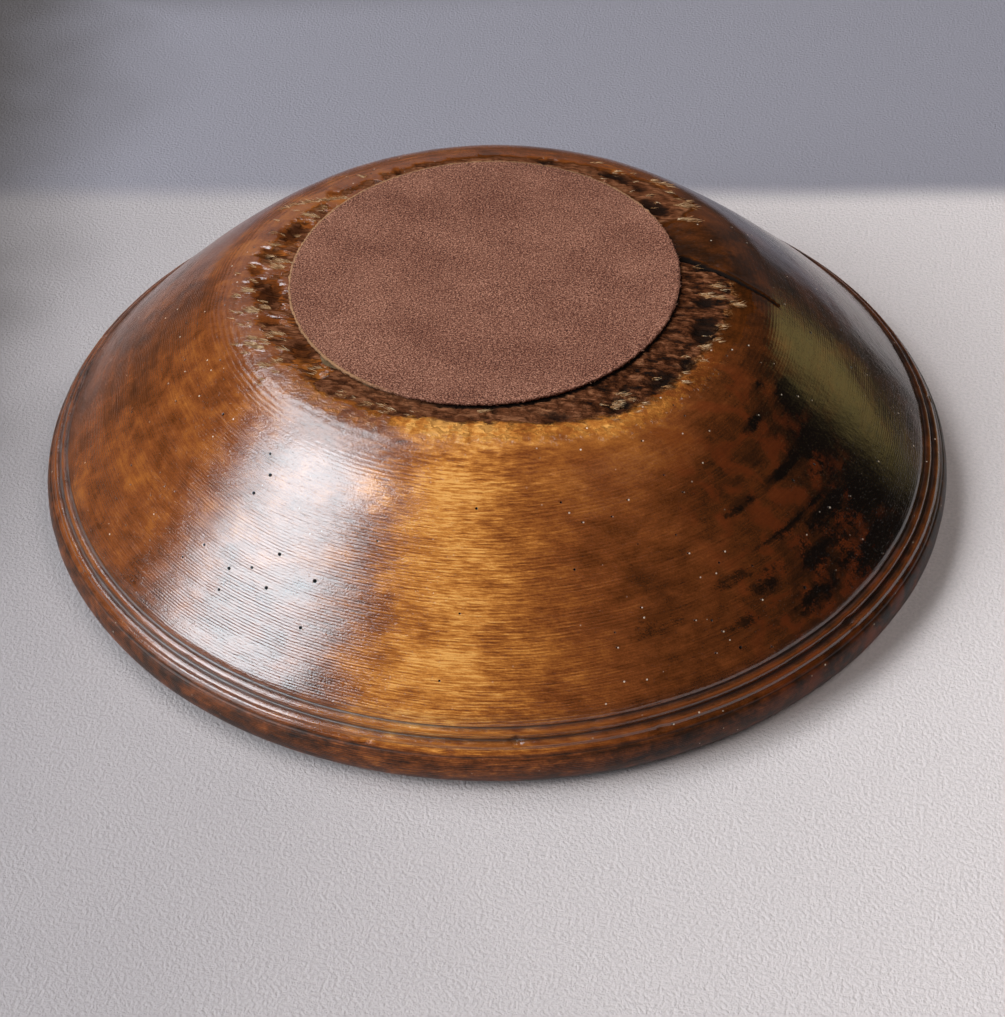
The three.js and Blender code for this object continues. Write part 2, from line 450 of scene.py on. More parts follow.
def small_tufts():
    """Wisps of fibre strewn over the torn wood."""
    chance = np.random.default_rng(5)
    wisps = []
    for first, last, inner, outer, count in SMALL_TUFTS:
        for _ in range(count):
            wisps.append((
                chance.uniform(first, last), chance.uniform(inner, outer),
                chance.uniform(0.8, 2.2), chance.uniform(0.3, 0.6), chance.uniform(0.4, 0.9),
            ))
    return tuple(wisps)


def hollowed(azimuth, radius, uneven):
    """How deep the worn hollows are."""
    deep = np.zeros(len(azimuth))
    for place, reach, around, outward, depth in HOLLOWS:
        across = np.radians(azimuth_gap(azimuth, place)) * reach / around
        spread = np.hypot(across, (radius - reach) / outward) + uneven
        deep = np.maximum(deep, depth * (1 - smooth_step(0.15, 1.3, spread)))
    return deep


def tufted(flat, fine):
    """How thick and pale the torn fibre stands, from 0 to 1."""
    tuft = np.zeros(len(flat))
    for place, reach, length, width, pale in TUFTS + small_tufts():
        gap = (flat - oval_place(place, reach)) / [length, width]
        near = np.abs(gap).max(axis=1) < 2
        spread = np.hypot(gap[near, 0], gap[near, 1]) + 0.4 * fine[near]
        tuft[near] = np.maximum(tuft[near], pale * (1 - smooth_step(0.4, 1.3, spread)))
    return tuft


def split_open(flat, fine, whole):
    """The open split, the lip on its whole side, the bare wood round it, and the depth lost."""
    gap, along = line_distance(flat, SPLIT)
    width = SPLIT_WIDTH * (1 - 0.55 * along) * (1 + 0.5 * fine)
    split = (1 - smooth_step(0.4 * width, width, gap)) * (1 - smooth_step(0.92, 1, along))
    lip = whole * np.exp(-(((gap - 1.9) / 0.6) ** 2)) * (1 - smooth_step(0.8, 1, along))
    band = gap / (1 - 0.4 * along)
    near = (1 - smooth_step(2.6, 4.6, band)) * (1 - smooth_step(0.97, 1, along))
    return split, lip, near, SPLIT_DEPTH * split * (1 - 0.6 * along)


def whole_beyond_split(flat, azimuth, lumps):
    """Where the wood beyond the split has kept its surface."""
    start, full, ending, ended = WHOLE_BEYOND_SPLIT
    past = smooth_step(-0.2, 0.6, flat[:, 1] - np.interp(flat[:, 0], *np.array(SPLIT).T))
    not_ended = 1 - smooth_step(ending, ended, azimuth + 4 * lumps)
    return past * (smooth_step(start, full, azimuth) * not_ended)


def foot_wear(points):
    """What has happened to the foot at each point: depth lost, and shares from 0 to 1."""
    flat = points[:, :2]
    radius = round_radius(flat)
    azimuth = np.degrees(np.arctan2(flat[:, 1], flat[:, 0]))
    beyond_felt = np.linalg.norm(flat - FELT_CENTRE, axis=1) - FELT_RADIUS
    lumps, grit, fine, strands = (
        noise_at(points, size, seed) for seed, size in enumerate(FOOT_NOISE, start=1)
    )
    whole = whole_beyond_split(flat, azimuth, lumps)
    split, lip, near_split, split_depth = split_open(flat, fine, whole)
    hollow = hollowed(azimuth, radius, 0.5 * lumps + 0.45 * grit + 0.45 * strands)
    tuft = tufted(flat, fine)
    gap, along = line_distance(flat, HAIRLINE)
    ridge = np.exp(-((gap / 0.9) ** 2)) * (1 - smooth_step(0.85, 1, along))

    edge = np.interp(azimuth, *np.array(TORN_EDGE).T) + 2.4 * lumps + 1.8 * grit + 1.2 * strands
    torn = 1 - smooth_step(edge - 3.5, edge + 3.5, radius)
    stranded = np.abs(azimuth_gap(azimuth, STRANDS_AT)) < STRANDS_SPREAD
    torn *= np.where(stranded, smooth_step(-0.35, 0.3, lumps + 0.6 * strands), 1)
    torn *= 1 - 0.93 * whole
    scuffed = (1 - smooth_step(edge + 5, edge + 15, radius)) * smooth_step(-0.7, 0.5, grit + fine)
    scuffed *= stretch(azimuth, *SCUFFED_FRONT)
    worn_foot = 2 * (1 - smooth_step(edge + 4, edge + 12, radius))
    worn_foot = worn_foot * stretch(azimuth, *WORN_FRONT) * (1 - whole)
    crazed = scuffed * smooth_step(*CRAZING, azimuth)
    bare = np.maximum.reduce([7 * torn, near_split, 3 * crazed, worn_foot, 2 * hollow, 3 * tuft])
    pitted = smooth_step(-0.1, 0.5, 0.6 * grit + 0.5 * strands + 0.4 * fine)

    depth = hollow * (1 + 0.35 * strands) + torn * (0.3 + 0.55 * pitted + 0.3 * fine)
    depth += scuffed * (0.16 + 0.22 * fine) + split_depth
    depth -= 0.35 * ridge + 0.3 * lip + tuft * (0.45 + 0.5 * strands)
    depth *= 0.25 + 0.75 * smooth_step(-3, 1, beyond_felt)
    return {
        "depth": depth,
        "hollow": np.clip(hollow / 1.5 + 0.55 * pitted * torn + 0.35 * split, 0, 1),
        "torn": torn,
        "scuffed": scuffed,
        "tuft": np.clip(np.maximum(tuft * (0.75 + 0.6 * strands), 0.42 * ridge), 0, 1),
        "split": split,
        # The lip beside the split: a painted highlight along its edge
        "worn": 0.7 * lip * (1 - split),
        "bare": np.clip(bare, 0, 1),
    }


# The bowl, whose faces take one of four finishes

WAXED, DULL, BARE, SCRUBBED = range(4)


def stained(azimuth, reach):
    """How black each place on the wall is, from 0 to 1."""
    share = np.zeros(len(azimuth))
    for place, height, around, upward, strength in STAINS:
        spread = np.hypot(azimuth_gap(azimuth, place) / around, (reach - height) / upward)
        share = np.maximum(share, strength * (1 - smooth_step(0.2, 1.25, spread)))
    return share


def profile_normals(rows):
    """The way out of the wood at each row, as (along the radius, up)."""
    points = np.array([(row.radius, row.height) for row in rows])
    ways = np.gradient(points, axis=0)
    normals = np.stack([ways[:, 1], -ways[:, 0]], axis=1)
    return normals / np.linalg.norm(normals, axis=1)[:, None]


def stitch(faces, low, low_count, high, high_count):
    """Adds the faces between two rings of vertices, of which one may be finer."""
    if low_count == high_count:
        for step in range(low_count):
            after = (step + 1) % low_count
            faces.append((low + step, low + after, high + after, high + step))
        return
    coarse = min(low_count, high_count)
    share = max(low_count, high_count) // coarse
    middle = share // 2
    for step in range(coarse):
        after = (step + 1) % coarse
        fine = [(step * share + place) % (coarse * share) for place in range(share + 1)]
        for place in range(share):
            near = step if place < middle else after
            if low_count > high_count:
                faces.append((low + fine[place], low + fine[place + 1], high + near))
            else:
                faces.append((low + near, high + fine[place + 1], high + fine[place]))
        if coarse > 1 and low_count > high_count:
            faces.append((low + fine[middle], high + after, high + step))
        elif coarse > 1:
            faces.append((low + step, low + after, high + fine[middle]))


def ring_mesh(rows):
    """The vertices of every row, each vertex's row, each row's first vertex, and faces."""
    starts = np.cumsum([0] + [row.columns for row in rows])
    turns = np.concatenate([np.arange(row.columns) / row.columns for row in rows]) * 2 * np.pi
    owner = np.repeat(np.arange(len(rows)), [row.columns for row in rows])
    radius = np.array([row.radius for row in rows])[owner]
    height = np.array([row.height for row in rows])[owner]
    points = np.stack([radius * np.cos(turns), radius * np.sin(turns), height], axis=1)
    faces = []
    for index in range(len(rows) - 1):
        stitch(faces, starts[index], rows[index].columns, starts[index + 1], rows[index + 1].columns)
    return points, turns, owner, starts, faces


def hole_places():
    """The worm holes seen, and others strewn over the rest of the wall."""
    chance = np.random.default_rng(7)
    holes = list(WORM_HOLES)
    while len(holes) < len(WORM_HOLES) + SCATTERED_HOLES:
        azimuth = chance.uniform(-180, 180)
        if HOLES_SEEN_FROM < azimuth < HOLES_SEEN_TO:
            continue
        holes.append((azimuth, chance.uniform(8, 100), chance.uniform(0.35, 0.75)))
    return holes


def hole_rings(middle, normal, radius):
    """The rings of vertices of one worm hole, from the wall inwards."""
    turn = math.atan2(middle[1], middle[0])
    east = np.array([-math.sin(turn), math.cos(turn), 0])
    away, rise = normal
    out = np.array([away * math.cos(turn), away * math.sin(turn), rise])
    upward = np.cross(out, east)
    for width, depth in HOLE_RINGS:
        for side in range(HOLE_SIDES):
            way = 2 * math.pi * side / HOLE_SIDES
            place = middle + radius * width * (math.cos(way) * east + math.sin(way) * upward)
            yield place - out * depth


def hole_faces(outer, first):
    """The faces of one worm hole: from the vertices round it to its rings, and its bottom."""
    last_ring = HOLE_SIDES * (len(HOLE_RINGS) - 1)
    for side in range(HOLE_SIDES):
        after = (side + 1) % HOLE_SIDES
        yield (outer[side], outer[after], first + after, first + side)
        for ring in range(first, first + last_ring, HOLE_SIDES):
            yield (ring + side, ring + after, ring + HOLE_SIDES + after, ring + HOLE_SIDES + side)
    yield tuple(first + last_ring + side for side in range(HOLE_SIDES))


def bore_holes(points, faces, rows, starts):
    """Cuts each worm hole into the wall: a square of four faces becomes a ring and a pit."""
    wall = [index for index, row in enumerate(rows) if row.zone == "wall"]
    start = np.array([rows[wall[0]].radius, rows[wall[0]].height])
    reaches = [np.hypot(rows[i].radius - start[0], rows[i].height - start[1]) for i in wall]
    normals = profile_normals(rows)

    def vertex(row, column):
        return int(starts[row] + column % WALL_COLUMNS)

    new_points, new_faces, dropped, used = [], [], set(), set()
    for azimuth, reach, radius in hole_places():
        nearest = 1 + int(np.argmin(np.abs(np.array(reaches[1:-1]) - reach)))
        row = wall[nearest]
        column = round(azimuth % 360 / 360 * WALL_COLUMNS) % WALL_COLUMNS
        nearby = {vertex(row + up, column + step) for up in (-1, 0, 1) for step in (-1, 0, 1)}
        if nearby & used:
            continue
        used |= nearby
        outer = [vertex(row + up, column + step) for up, step in ROUND_A_HOLE]
        for up, step in FACES_AT_A_HOLE:
            low = [vertex(row + up, column + step + side) for side in (0, 1)]
            high = [vertex(row + up + 1, column + step + side) for side in (1, 0)]
            dropped.add(tuple(low + high))
        new_faces += hole_faces(outer, len(points) + len(new_points))
        new_points += hole_rings(points[vertex(row, column)], normals[row], radius)
    kept = [face for face in faces if tuple(int(v) for v in face) not in dropped]
    return np.vstack([points, new_points]), kept + new_faces, len(new_points)


def write_mesh(name, points, faces, shares):
    """A mesh in metres, with a number stored on each vertex for each named share."""
    mesh = bpy.data.meshes.new(name)
    mesh.from_pydata((points * MM).tolist(), [], [tuple(int(v) for v in face) for face in faces])
    for share, values in shares.items():
        attribute = mesh.attributes.new(share, "FLOAT", "POINT")
        attribute.data.foreach_set("value", values.astype(np.float32))
    mesh.shade_smooth()
    mesh.validate()
    piece = bpy.data.objects.new(name, mesh)
    bpy.context.scene.collection.objects.link(piece)
    return piece


def bowl_rows():
    """All the rows, from the middle of the floor inside to the middle of the foot."""
    return inside_rows()[:-1] + roll_rows() + moulding_rows(roll_end()) + wall_and_foot_rows()


def rim_chips(points, azimuth):
    """For each chip out of the reeds, how deep it is at every point."""
    for place, height, size, bite in RIM_NICKS:
        across = np.radians(azimuth_gap(azimuth, place)) * RIM_WIDTH / 2
        spread = np.hypot(across, points[:, 2] - height) / size
        yield bite * (1 - smooth_step(0.25, 1, spread))


def wobble_depth(points, zones):
    """How far the old wood has warped from a true turned surface."""
    wobble = noise_at(points, (60, 45, 45), 6) * 0.35 + noise_at(points, (17, 13, 13), 7) * 0.12
    on_roll = wobble * smooth_step(3, 10, points[:, 2]) * (zones == "roll")
    return np.where(np.isin(zones, ("wall", "foot", "moulding")), wobble, on_roll)


def worn_and_warped(rows, points, turns, owner):
    """The wood lost at every vertex, and the shares that the finishes read."""
    zones = np.array([row.zone for row in rows])[owner]
    azimuth = np.degrees(turns)
    profile = np.array([(row.radius, row.height) for row in rows])
    reach = np.linalg.norm(profile - wall_ends()[0], axis=1)[owner]
    shares = {
        "grime_and_shade": np.array([row.grime_and_shade for row in rows])[owner],
        "worn": np.array([row.worn for row in rows])[owner],
        "stain": stained(azimuth, reach) * np.isin(zones, ("wall", "foot")),
    }
    for share in ("hollow", "torn", "scuffed", "tuft", "split", "bare", "bore"):
        shares[share] = np.zeros(len(points))
    depth = np.zeros(len(points))
    on_foot = np.isin(zones, ("foot", "under_felt"))
    wear = foot_wear(points[on_foot] * [1 + OVALNESS, 1 - OVALNESS, 1])
    depth[on_foot] = wear.pop("depth")
    for share, values in wear.items():
        shares[share][on_foot] = values
    depth += wobble_depth(points, zones)
    on_rim = np.isin(zones, ("moulding", "roll"))
    for chip in rim_chips(points, azimuth):
        depth += chip * on_rim
        shares["worn"] = np.maximum(shares["worn"], chip * on_rim)
    return depth, shares


def choose_finishes(bowl, inside_count, bare, dull):
    """Gives each face the finish of its corners. The rest stays waxed."""
    for face in bowl.data.polygons:
        corners = list(face.vertices)
        if max(corners) < inside_count:
            face.material_index = SCRUBBED
        elif bare[corners].all():
            face.material_index = BARE
        elif dull[corners].all():
            face.material_index = DULL
        else:
            face.material_index = WAXED


def make_bowl():
    """Turned as rings of faces, then weathered, bored, drawn into its oval and given finishes."""
    rows = bowl_rows()
    points, turns, owner, starts, faces = ring_mesh(rows)
    depth, shares = worn_and_warped(rows, points, turns, owner)
    away, rise = profile_normals(rows)[owner].T
    out = np.stack([away * np.cos(turns), away * np.sin(turns), rise], axis=1)
    points = points - out * depth[:, None]

    points, faces, added = bore_holes(points, faces, rows, starts)
    for share in shares:
        shares[share] = np.concatenate([shares[share], np.zeros(added)])
    in_hole = [0] + [1] * (len(HOLE_RINGS) - 1)
    holes = added // (len(HOLE_RINGS) * HOLE_SIDES)
    shares["bore"][len(turns):] = np.tile(np.repeat(in_hole, HOLE_SIDES), holes)
    points *= [1 + OVALNESS, 1 - OVALNESS, 1]
    bowl = write_mesh("turned_bowl", points, faces, shares)

    inside_count = starts[len(inside_rows()) - 1] + INSIDE_COLUMNS
    below_moulding = points[:, 2] < roll_end()[1] - 0.1
    choose_finishes(bowl, inside_count, shares["bare"] > 0.5, below_moulding)
    return bowl


# Nodes, for materials and for geometry

class Recipe:
    """Short calls that add nodes to a tree and join them as they are given."""

    def __init__(self, tree):
        self.tree = tree
        self.tree.nodes.clear()

    def add(self, kind, inputs=None, **settings):
        node = self.tree.nodes.new(kind)
        for name, value in settings.items():
            setattr(node, name, value)
        for name, value in (inputs or {}).items():
            self.give(node.inputs[name], value)
        return node

    def give(self, socket, value):
        if isinstance(value, bpy.types.NodeSocket):
            self.tree.links.new(value, socket)
        else:
            socket.default_value = value

    def math(self, operation, *values):
        kind = "ShaderNodeMath"
        return self.add(kind, dict(enumerate(values)), operation=operation).outputs[0]

    def plus(self, *values):
        total = values[0]
        for value in values[1:]:
            total = self.math("ADD", total, value)
        return total

    def times(self, *values):
        total = values[0]
        for value in values[1:]:
            total = self.math("MULTIPLY", total, value)
        return total

    def minus(self, first, second):
        return self.math("SUBTRACT", first, second)

    def most(self, first, second):
        return self.math("MAXIMUM", first, second)

    def length(self, x, y):
        """How far a place is from the middle."""
        return self.math("SQRT", self.plus(self.times(x, x), self.times(y, y)))

    def vector(self, operation, inputs):
        return self.add("ShaderNodeVectorMath", inputs, operation=operation).outputs[0]

    def stretched(self, vector, size):
        """The vector divided by a size along each axis."""
        return self.vector("MULTIPLY", {0: vector, 1: tuple(1 / length for length in size)})

    def joined(self, **parts):
        """A vector from its parts X, Y and Z, where one that isn't given is nothing."""
        return self.add("ShaderNodeCombineXYZ", parts).outputs[0]

    def parts(self, vector):
        return self.add("ShaderNodeSeparateXYZ", {0: vector}).outputs

    def steps(self, value, low, high, start=0.0, end=1.0):
        """From start to end as the value goes from low to high, with soft ends."""
        sockets = {"Value": value, "From Min": low, "From Max": high, "To Min": start, "To Max": end}
        return self.add("ShaderNodeMapRange", sockets, interpolation_type="SMOOTHSTEP").outputs[0]

    def window(self, value, low, low_end, high, high_end):
        """1 between low_end and high, falling to 0 at low and at high_end."""
        return self.times(self.steps(value, low, low_end), self.steps(value, high, high_end, 1.0, 0.0))

    def mixed(self, share, first, second):
        node = self.add("ShaderNodeMix", data_type="RGBA", clamp_factor=True)
        for index, value in zip((0, 6, 7), (share, first, second)):
            if isinstance(value, tuple) and len(value) == 3:
                value = (*value, 1.0)
            self.give(node.inputs[index], value)
        return node.outputs[2]


class Finish(Recipe):
    """The nodes of one material. Places are in millimetres on the piece itself."""

    def __init__(self, name):
        self.material = bpy.data.materials.new(name)
        self.material.use_nodes = True
        super().__init__(self.material.node_tree)
        place = self.add("ShaderNodeTexCoord").outputs["Object"]
        self.place = self.vector("SCALE", {0: place, "Scale": 1 / MM})
        self.x, self.y, self.z = self.parts(self.place)

    def share(self, name):
        return self.add("ShaderNodeAttribute", attribute_name=name).outputs["Fac"]

    def azimuth_here(self):
        return self.times(self.math("ARCTAN2", self.y, self.x), 180 / math.pi)

    def noise(self, size, detail=2.0, roughness=0.5, distortion=0.0, on=None):
        """Noise whose lumps have the given size along X, Y and Z, from 0 to 1."""
        sockets = {"Vector": self.stretched(on or self.place, size), "Scale": 1.0, "Detail": detail}
        sockets |= {"Roughness": roughness, "Distortion": distortion}
        return self.add("ShaderNodeTexNoise", sockets).outputs[0]

    def cells(self, size, on=None):
        """How far each place is from the nearest of the points strewn this far apart."""
        sockets = {"Vector": self.stretched(on or self.place, size), "Scale": 1.0}
        return self.add("ShaderNodeTexVoronoi", sockets).outputs["Distance"]

    def colours(self, value, *stops):
        """A colour for each value, from stops of (place, colour)."""
        node = self.add("ShaderNodeValToRGB", {"Fac": value})
        ramp = node.color_ramp
        for element, (place, colour) in zip(ramp.elements, (stops[0], stops[-1])):
            element.position = place
            element.color = (*colour, 1.0)
        for place, colour in stops[1:-1]:
            ramp.elements.new(place).color = (*colour, 1.0)
        return node.outputs[0]

    def swing(self, value, amount):
        """A value that averages a half, moved to swing about nothing by the given amount."""
        return self.times(self.minus(value, 0.5), amount)

    def raised(self, height, distance, over=None):
        """The surface's slope once each height, times the distance, is raised on it."""
        sockets = {"Height": height, "Distance": distance * MM}
        if over is not None:
            sockets["Normal"] = over
        return self.add("ShaderNodeBump", sockets).outputs[0]

    def finished(self, colour, roughness, gloss=0.5, relief=None):
        sockets = {"Base Color": colour, "Roughness": roughness, "Specular IOR Level": gloss}
        if relief is not None:
            sockets["Normal"] = relief
        shader = self.add("ShaderNodeBsdfPrincipled", sockets)
        self.add("ShaderNodeOutputMaterial", {"Surface": shader.outputs[0]})
        return self.material


class Growing(Recipe):
    """A geometry tree with a named input for each size, and the mesh that goes through."""

    def __init__(self, name, sizes):
        super().__init__(bpy.data.node_groups.new(name, "GeometryNodeTree"))
        interface = self.tree.interface
        interface.new_socket("Geometry", in_out="INPUT", socket_type="NodeSocketGeometry")
        for label in sizes:
            interface.new_socket(label, in_out="INPUT", socket_type="NodeSocketFloat")
        interface.new_socket("Geometry", in_out="OUTPUT", socket_type="NodeSocketGeometry")
        self.sizes = sizes
        self.size = self.add("NodeGroupInput").outputs

    def spot(self):
        return self.add("GeometryNodeInputPosition").outputs[0]

    def named(self, share):
        inputs = {"Name": share}
        return self.add("GeometryNodeInputNamedAttribute", inputs, data_type="FLOAT").outputs[0]

    def stored(self, geometry, share, value, domain):
        inputs = {"Geometry": geometry, "Name": share, "Value": value}
        kind = "GeometryNodeStoreNamedAttribute"
        return self.add(kind, inputs, data_type="FLOAT", domain=domain).outputs[0]

    def chance(self, low, high, seed):
        """A number of its own for each point, from low to high."""
        inputs = {"Min": low, "Max": high, "Seed": seed}
        node = self.add("FunctionNodeRandomValue", inputs, data_type="FLOAT")
        return next(socket for socket in node.outputs if socket.enabled)

    def ends(self, geometry, material):
        """Makes real meshes of the instances, gives them the material, and ends the tree."""
        whole = self.add("GeometryNodeRealizeInstances", {"Geometry": geometry}).outputs[0]
        inputs = {"Geometry": whole, "Material": material}
        dressed = self.add("GeometryNodeSetMaterial", inputs).outputs[0]
        self.add("NodeGroupOutput", {0: dressed})

    def grown_on(self, name, mesh):
        """A new piece: the mesh that the tree makes from this one."""
        piece = bpy.data.objects.new(name, mesh)
        bpy.context.scene.collection.objects.link(piece)
        modifier = piece.modifiers.new("Growth", "NODES")
        modifier.node_group = self.tree
        for socket in self.tree.interface.items_tree:
            if socket.in_out == "INPUT" and socket.name in self.sizes:
                modifier[socket.identifier] = self.sizes[socket.name]
        shown = piece.evaluated_get(bpy.context.evaluated_depsgraph_get())
        made = bpy.data.meshes.new_from_object(shown)
        piece.modifiers.remove(modifier)
        piece.data = made
        made.name = name
        return piece


# Finishes

BLACK_WOOD = (0.006, 0.0028, 0.0015)
DARK_WOOD = (0.030, 0.009, 0.0025)
BROWN_WOOD = (0.084, 0.021, 0.0042)
RED_WOOD = (0.165, 0.042, 0.0095)
ORANGE_WOOD = (0.28, 0.084, 0.015)
GOLD_WOOD = (0.48, 0.172, 0.032)
PALE_WOOD = (0.66, 0.30, 0.075)
RUST = (0.125, 0.022, 0.0045)
# Grime, also painted as shade in the grooves, the split and the worm holes
GRIME_AND_SHADE = (0.009, 0.006, 0.005)
# Black of torn wood, also painted as shade in the hollows and under the felt's edge
TORN_BLACK_AND_SHADE = (0.010, 0.006, 0.0045)
TORN_DARK = (0.038, 0.0115, 0.0045)
TORN_WOOD = (0.112, 0.036, 0.015)
TORN_LIGHT = (0.255, 0.100, 0.046)
TORN_PALE = (0.44, 0.22, 0.095)
# Pale specks: partly dust, partly painted glints
SPECK_AND_GLINT = (0.75, 0.60, 0.46)
TUFT_TAN = (0.25, 0.105, 0.038)
TUFT_GOLD = (0.54, 0.32, 0.15)
TUFT_CREAM = (0.68, 0.50, 0.33)
FELT_DARK = (0.0424, 0.013, 0.0085)
FELT_BROWN = (0.175, 0.0605, 0.0365)
FELT_LIGHT = (0.551, 0.27, 0.178)
# The felt's fraying edge, partly painted light on the side towards the window
FELT_FRAY_AND_LIGHT = (0.36, 0.19, 0.09)
THIN_GLUE = (0.050, 0.026, 0.012)
DUSTY_GLUE = (0.13, 0.080, 0.040)
SPLINTER_DARK = (0.14, 0.055, 0.020)
SPLINTER_TAN = (0.40, 0.21, 0.09)
SPLINTER_PALE = (0.66, 0.47, 0.29)

# How far the turning tool rose from one pass round the bowl to the next
TURNING_PITCH = 0.95

# How light the wall is at each azimuth: 0 for black wood and 1 for the palest. The pale
# gold from -101 to -75 is paler side grain and partly a painted sheen of its fibres, and
# the wall is painted a little darker under the window's highlight, from -122 to -108
LIGHTNESS = (
    (-180, 0.36), (-166, 0.41), (-150, 0.50), (-130, 0.50), (-122, 0.46), (-108, 0.46),
    (-101, 0.54), (-94, 0.73), (-86, 0.84), (-81, 0.80), (-75, 0.68), (-65, 0.52), (-55, 0.40),
    (-45, 0.36), (-25, 0.25), (-14, 0.09), (-4, 0.10), (20, 0.17), (60, 0.33), (120, 0.47),
    (180, 0.43),
)
# The tone of wood whose wax and grime have rubbed off, also a painted highlight on the
# crests of the reeds and on the lip of the split
WORN_AND_LIT_TONE = (0.6, 0.6, 0.6)
SCRUBBED_WOOD = (0.27, 0.135, 0.055)
SCRUBBED_DARK = (0.13, 0.052, 0.018)

# Stretches round the bowl: the azimuths where each begins, is full, starts to end, and
# has ended
# Where the side grain is paler and streakier, partly a painted sheen of its fibres
SIDE_GRAIN_SHEEN = (-108.0, -95.0, -82.0, -55.0)
DARK_SHOULDER = (-42.0, 2.0, 30.0, 70.0)
PALE_SHOULDER = (-86.0, -66.0, -52.0, -32.0)
RUSTY_STAINS = (-48.0, -40.0, -20.0, -11.0)
FEW_SPECKS = (-136.0, -126.0, -72.0, -60.0)
TORN_BROWN = (-62.0, -44.0, 24.0, 40.0)
# Where a shadow is painted in the gap under the felt's edge
FELT_EDGE_PAINTED_SHADOW = (-106.0, -88.0, 10.0, 34.0)
SMOOTH_WAX = (-75.0, -48.0, 50.0, 90.0)
FELT_EDGE_AWAY_FROM_WINDOW = (-128.0, -100.0, 25.0, 60.0)

# Heights where the roll ends, where the reeds are, and over which the wall turns into the foot
ROLL_ENDS = (21.0, 24.5)
REEDS = (22.0, 24.5, 30.5, 32.5)
SHOULDER = (84.0, 108.0)


def felt_distance(f):
    """How far each place is from the middle of the felt."""
    return f.length(f.plus(f.x, -float(FELT_CENTRE[0])), f.plus(f.y, -float(FELT_CENTRE[1])))


class OldWood(Finish):
    """The outside's wood, with the marks that its colour, roughness and relief all follow."""

    def __init__(self, name):
        super().__init__(name)
        self.azimuth = self.azimuth_here()
        radius = self.length(self.x, self.y)
        round_x = self.math("DIVIDE", self.x, radius)
        round_y = self.math("DIVIDE", self.y, radius)
        self.ring = self.joined(X=round_x, Y=round_y, Z=self.z)
        self.torn, self.hollow, self.scuffed = map(self.share, ("torn", "hollow", "scuffed"))
        self.tuft, self.grime_and_shade, self.worn = map(self.share, ("tuft", "grime_and_shade", "worn"))
        self.split, self.bore, self.stain = map(self.share, ("split", "bore", "stain"))
        self.side_grain_sheen = self.window(self.azimuth, *SIDE_GRAIN_SHEEN)
        self.roll = self.steps(self.z, *ROLL_ENDS, 1.0, 0.0)
        self.strew_noise()
        self.strew_marks()

    def strew_noise(self):
        """Fibres along the grain, clouds and lumps in the wood, and lines round the bowl."""
        self.fibre = self.noise((40, 1.6, 1.6), 5.0, 0.62, 0.3)
        self.fine_fibre = self.noise((5, 0.6, 0.6), 3.0, 0.65)
        self.blotch = self.noise((46, 30, 26), 4.0, 0.6, 0.6)
        self.patch = self.noise((16, 11, 11), 2.5, 0.5, 0.4)
        self.mottle = self.noise((9, 5, 5), 4.0, 0.65)
        self.grain = self.noise((0.9, 0.75, 0.75), 2.0, 0.6)
        self.lumps = self.noise((7, 4, 4), 4.0, 0.65, 0.5)
        self.crazing = self.noise((3.6, 2.4, 2.4), 3.0, 0.6, 0.8)
        self.turning = self.noise((0.22, 0.22, 1.1), 4.0, 0.62, on=self.ring)
        self.fine_turning = self.noise((0.05, 0.05, 0.42), 3.0, 0.6, on=self.ring)

    def strew_marks(self):
        """The turning tool's feed, cracks, pale specks that are partly painted glints, pinholes,
        pores, and where the wood is bared.
        """
        bands = self.noise((0.7, 0.7, 8.0), 2.0, 0.5, on=self.ring)
        phase = self.plus(self.times(self.z, 2 * math.pi / TURNING_PITCH), self.swing(self.blotch, 9.0))
        self.feed = self.times(self.math("SINE", phase), self.steps(bands, 0.32, 0.62, 0.25, 1.0))
        self.crack = self.line_of(self.crazing, 0.045)
        few = self.times(self.window(self.azimuth, *FEW_SPECKS), -0.8)
        upper_wall = self.steps(self.z, 60.0, 105.0, 0.0, 0.1)
        clustered = self.steps(self.plus(self.blotch, upper_wall), 0.42, 0.56)
        clustered = self.times(clustered, self.plus(1.0, few))
        beside = self.vector("ADD", {0: self.place, 1: (0.5, 0.45, -0.45)})
        self.speck_and_glint = self.times(self.steps(self.cells((7, 7, 7)), 0.04, 0.075, 1.0, 0.0), clustered)
        pinholes = self.cells((7, 7, 7), on=beside)
        self.pinhole = self.times(self.steps(pinholes, 0.04, 0.08, 1.0, 0.0), clustered)
        self.pits = self.steps(self.cells((4.0, 1.1, 1.1)), 0.06, 0.2, 1.0, 0.0)
        uneven = self.plus(self.torn, self.swing(self.mottle, 0.9), self.swing(self.fine_fibre, 0.8))
        self.bared = self.times(self.steps(uneven, 0.25, 0.75), self.steps(self.torn, 0.02, 0.2))

    def line_of(self, noise, width):
        """1 on the thin lines where the noise crosses its middle."""
        return self.steps(self.math("ABSOLUTE", self.swing(noise, 1.0)), 0.0, width, 1.0, 0.0)


def plain_tone(f):
    """How light the wood is at each azimuth, rubbed lighter at the foot and dark on the rim."""
    around = f.plus(f.times(f.azimuth, 1 / 360), f.swing(f.blotch, 0.05), 0.5)
    tone = f.colours(around, *[(place / 360 + 0.5, (light,) * 3) for place, light in LIGHTNESS])
    dark_shoulder = f.times(f.window(f.azimuth, *DARK_SHOULDER), -0.28)
    pale_shoulder = f.times(f.window(f.azimuth, *PALE_SHOULDER), 0.17)
    rubbed = f.most(f.plus(tone, 0.04), f.plus(0.50, dark_shoulder, pale_shoulder))
    tone = f.mixed(f.steps(f.z, *SHOULDER), tone, rubbed)
    tone = f.plus(tone, f.steps(f.z, 34.0, 50.0, -0.03, 0.0))
    # The reeds are kept at least this light: partly wear, partly a painted highlight
    tone = f.mixed(f.times(f.window(f.z, *REEDS), 0.8), tone, f.most(tone, 0.27))
    return f.mixed(f.times(f.roll, 0.9), tone, f.plus(f.times(tone, 0.35), 0.08))


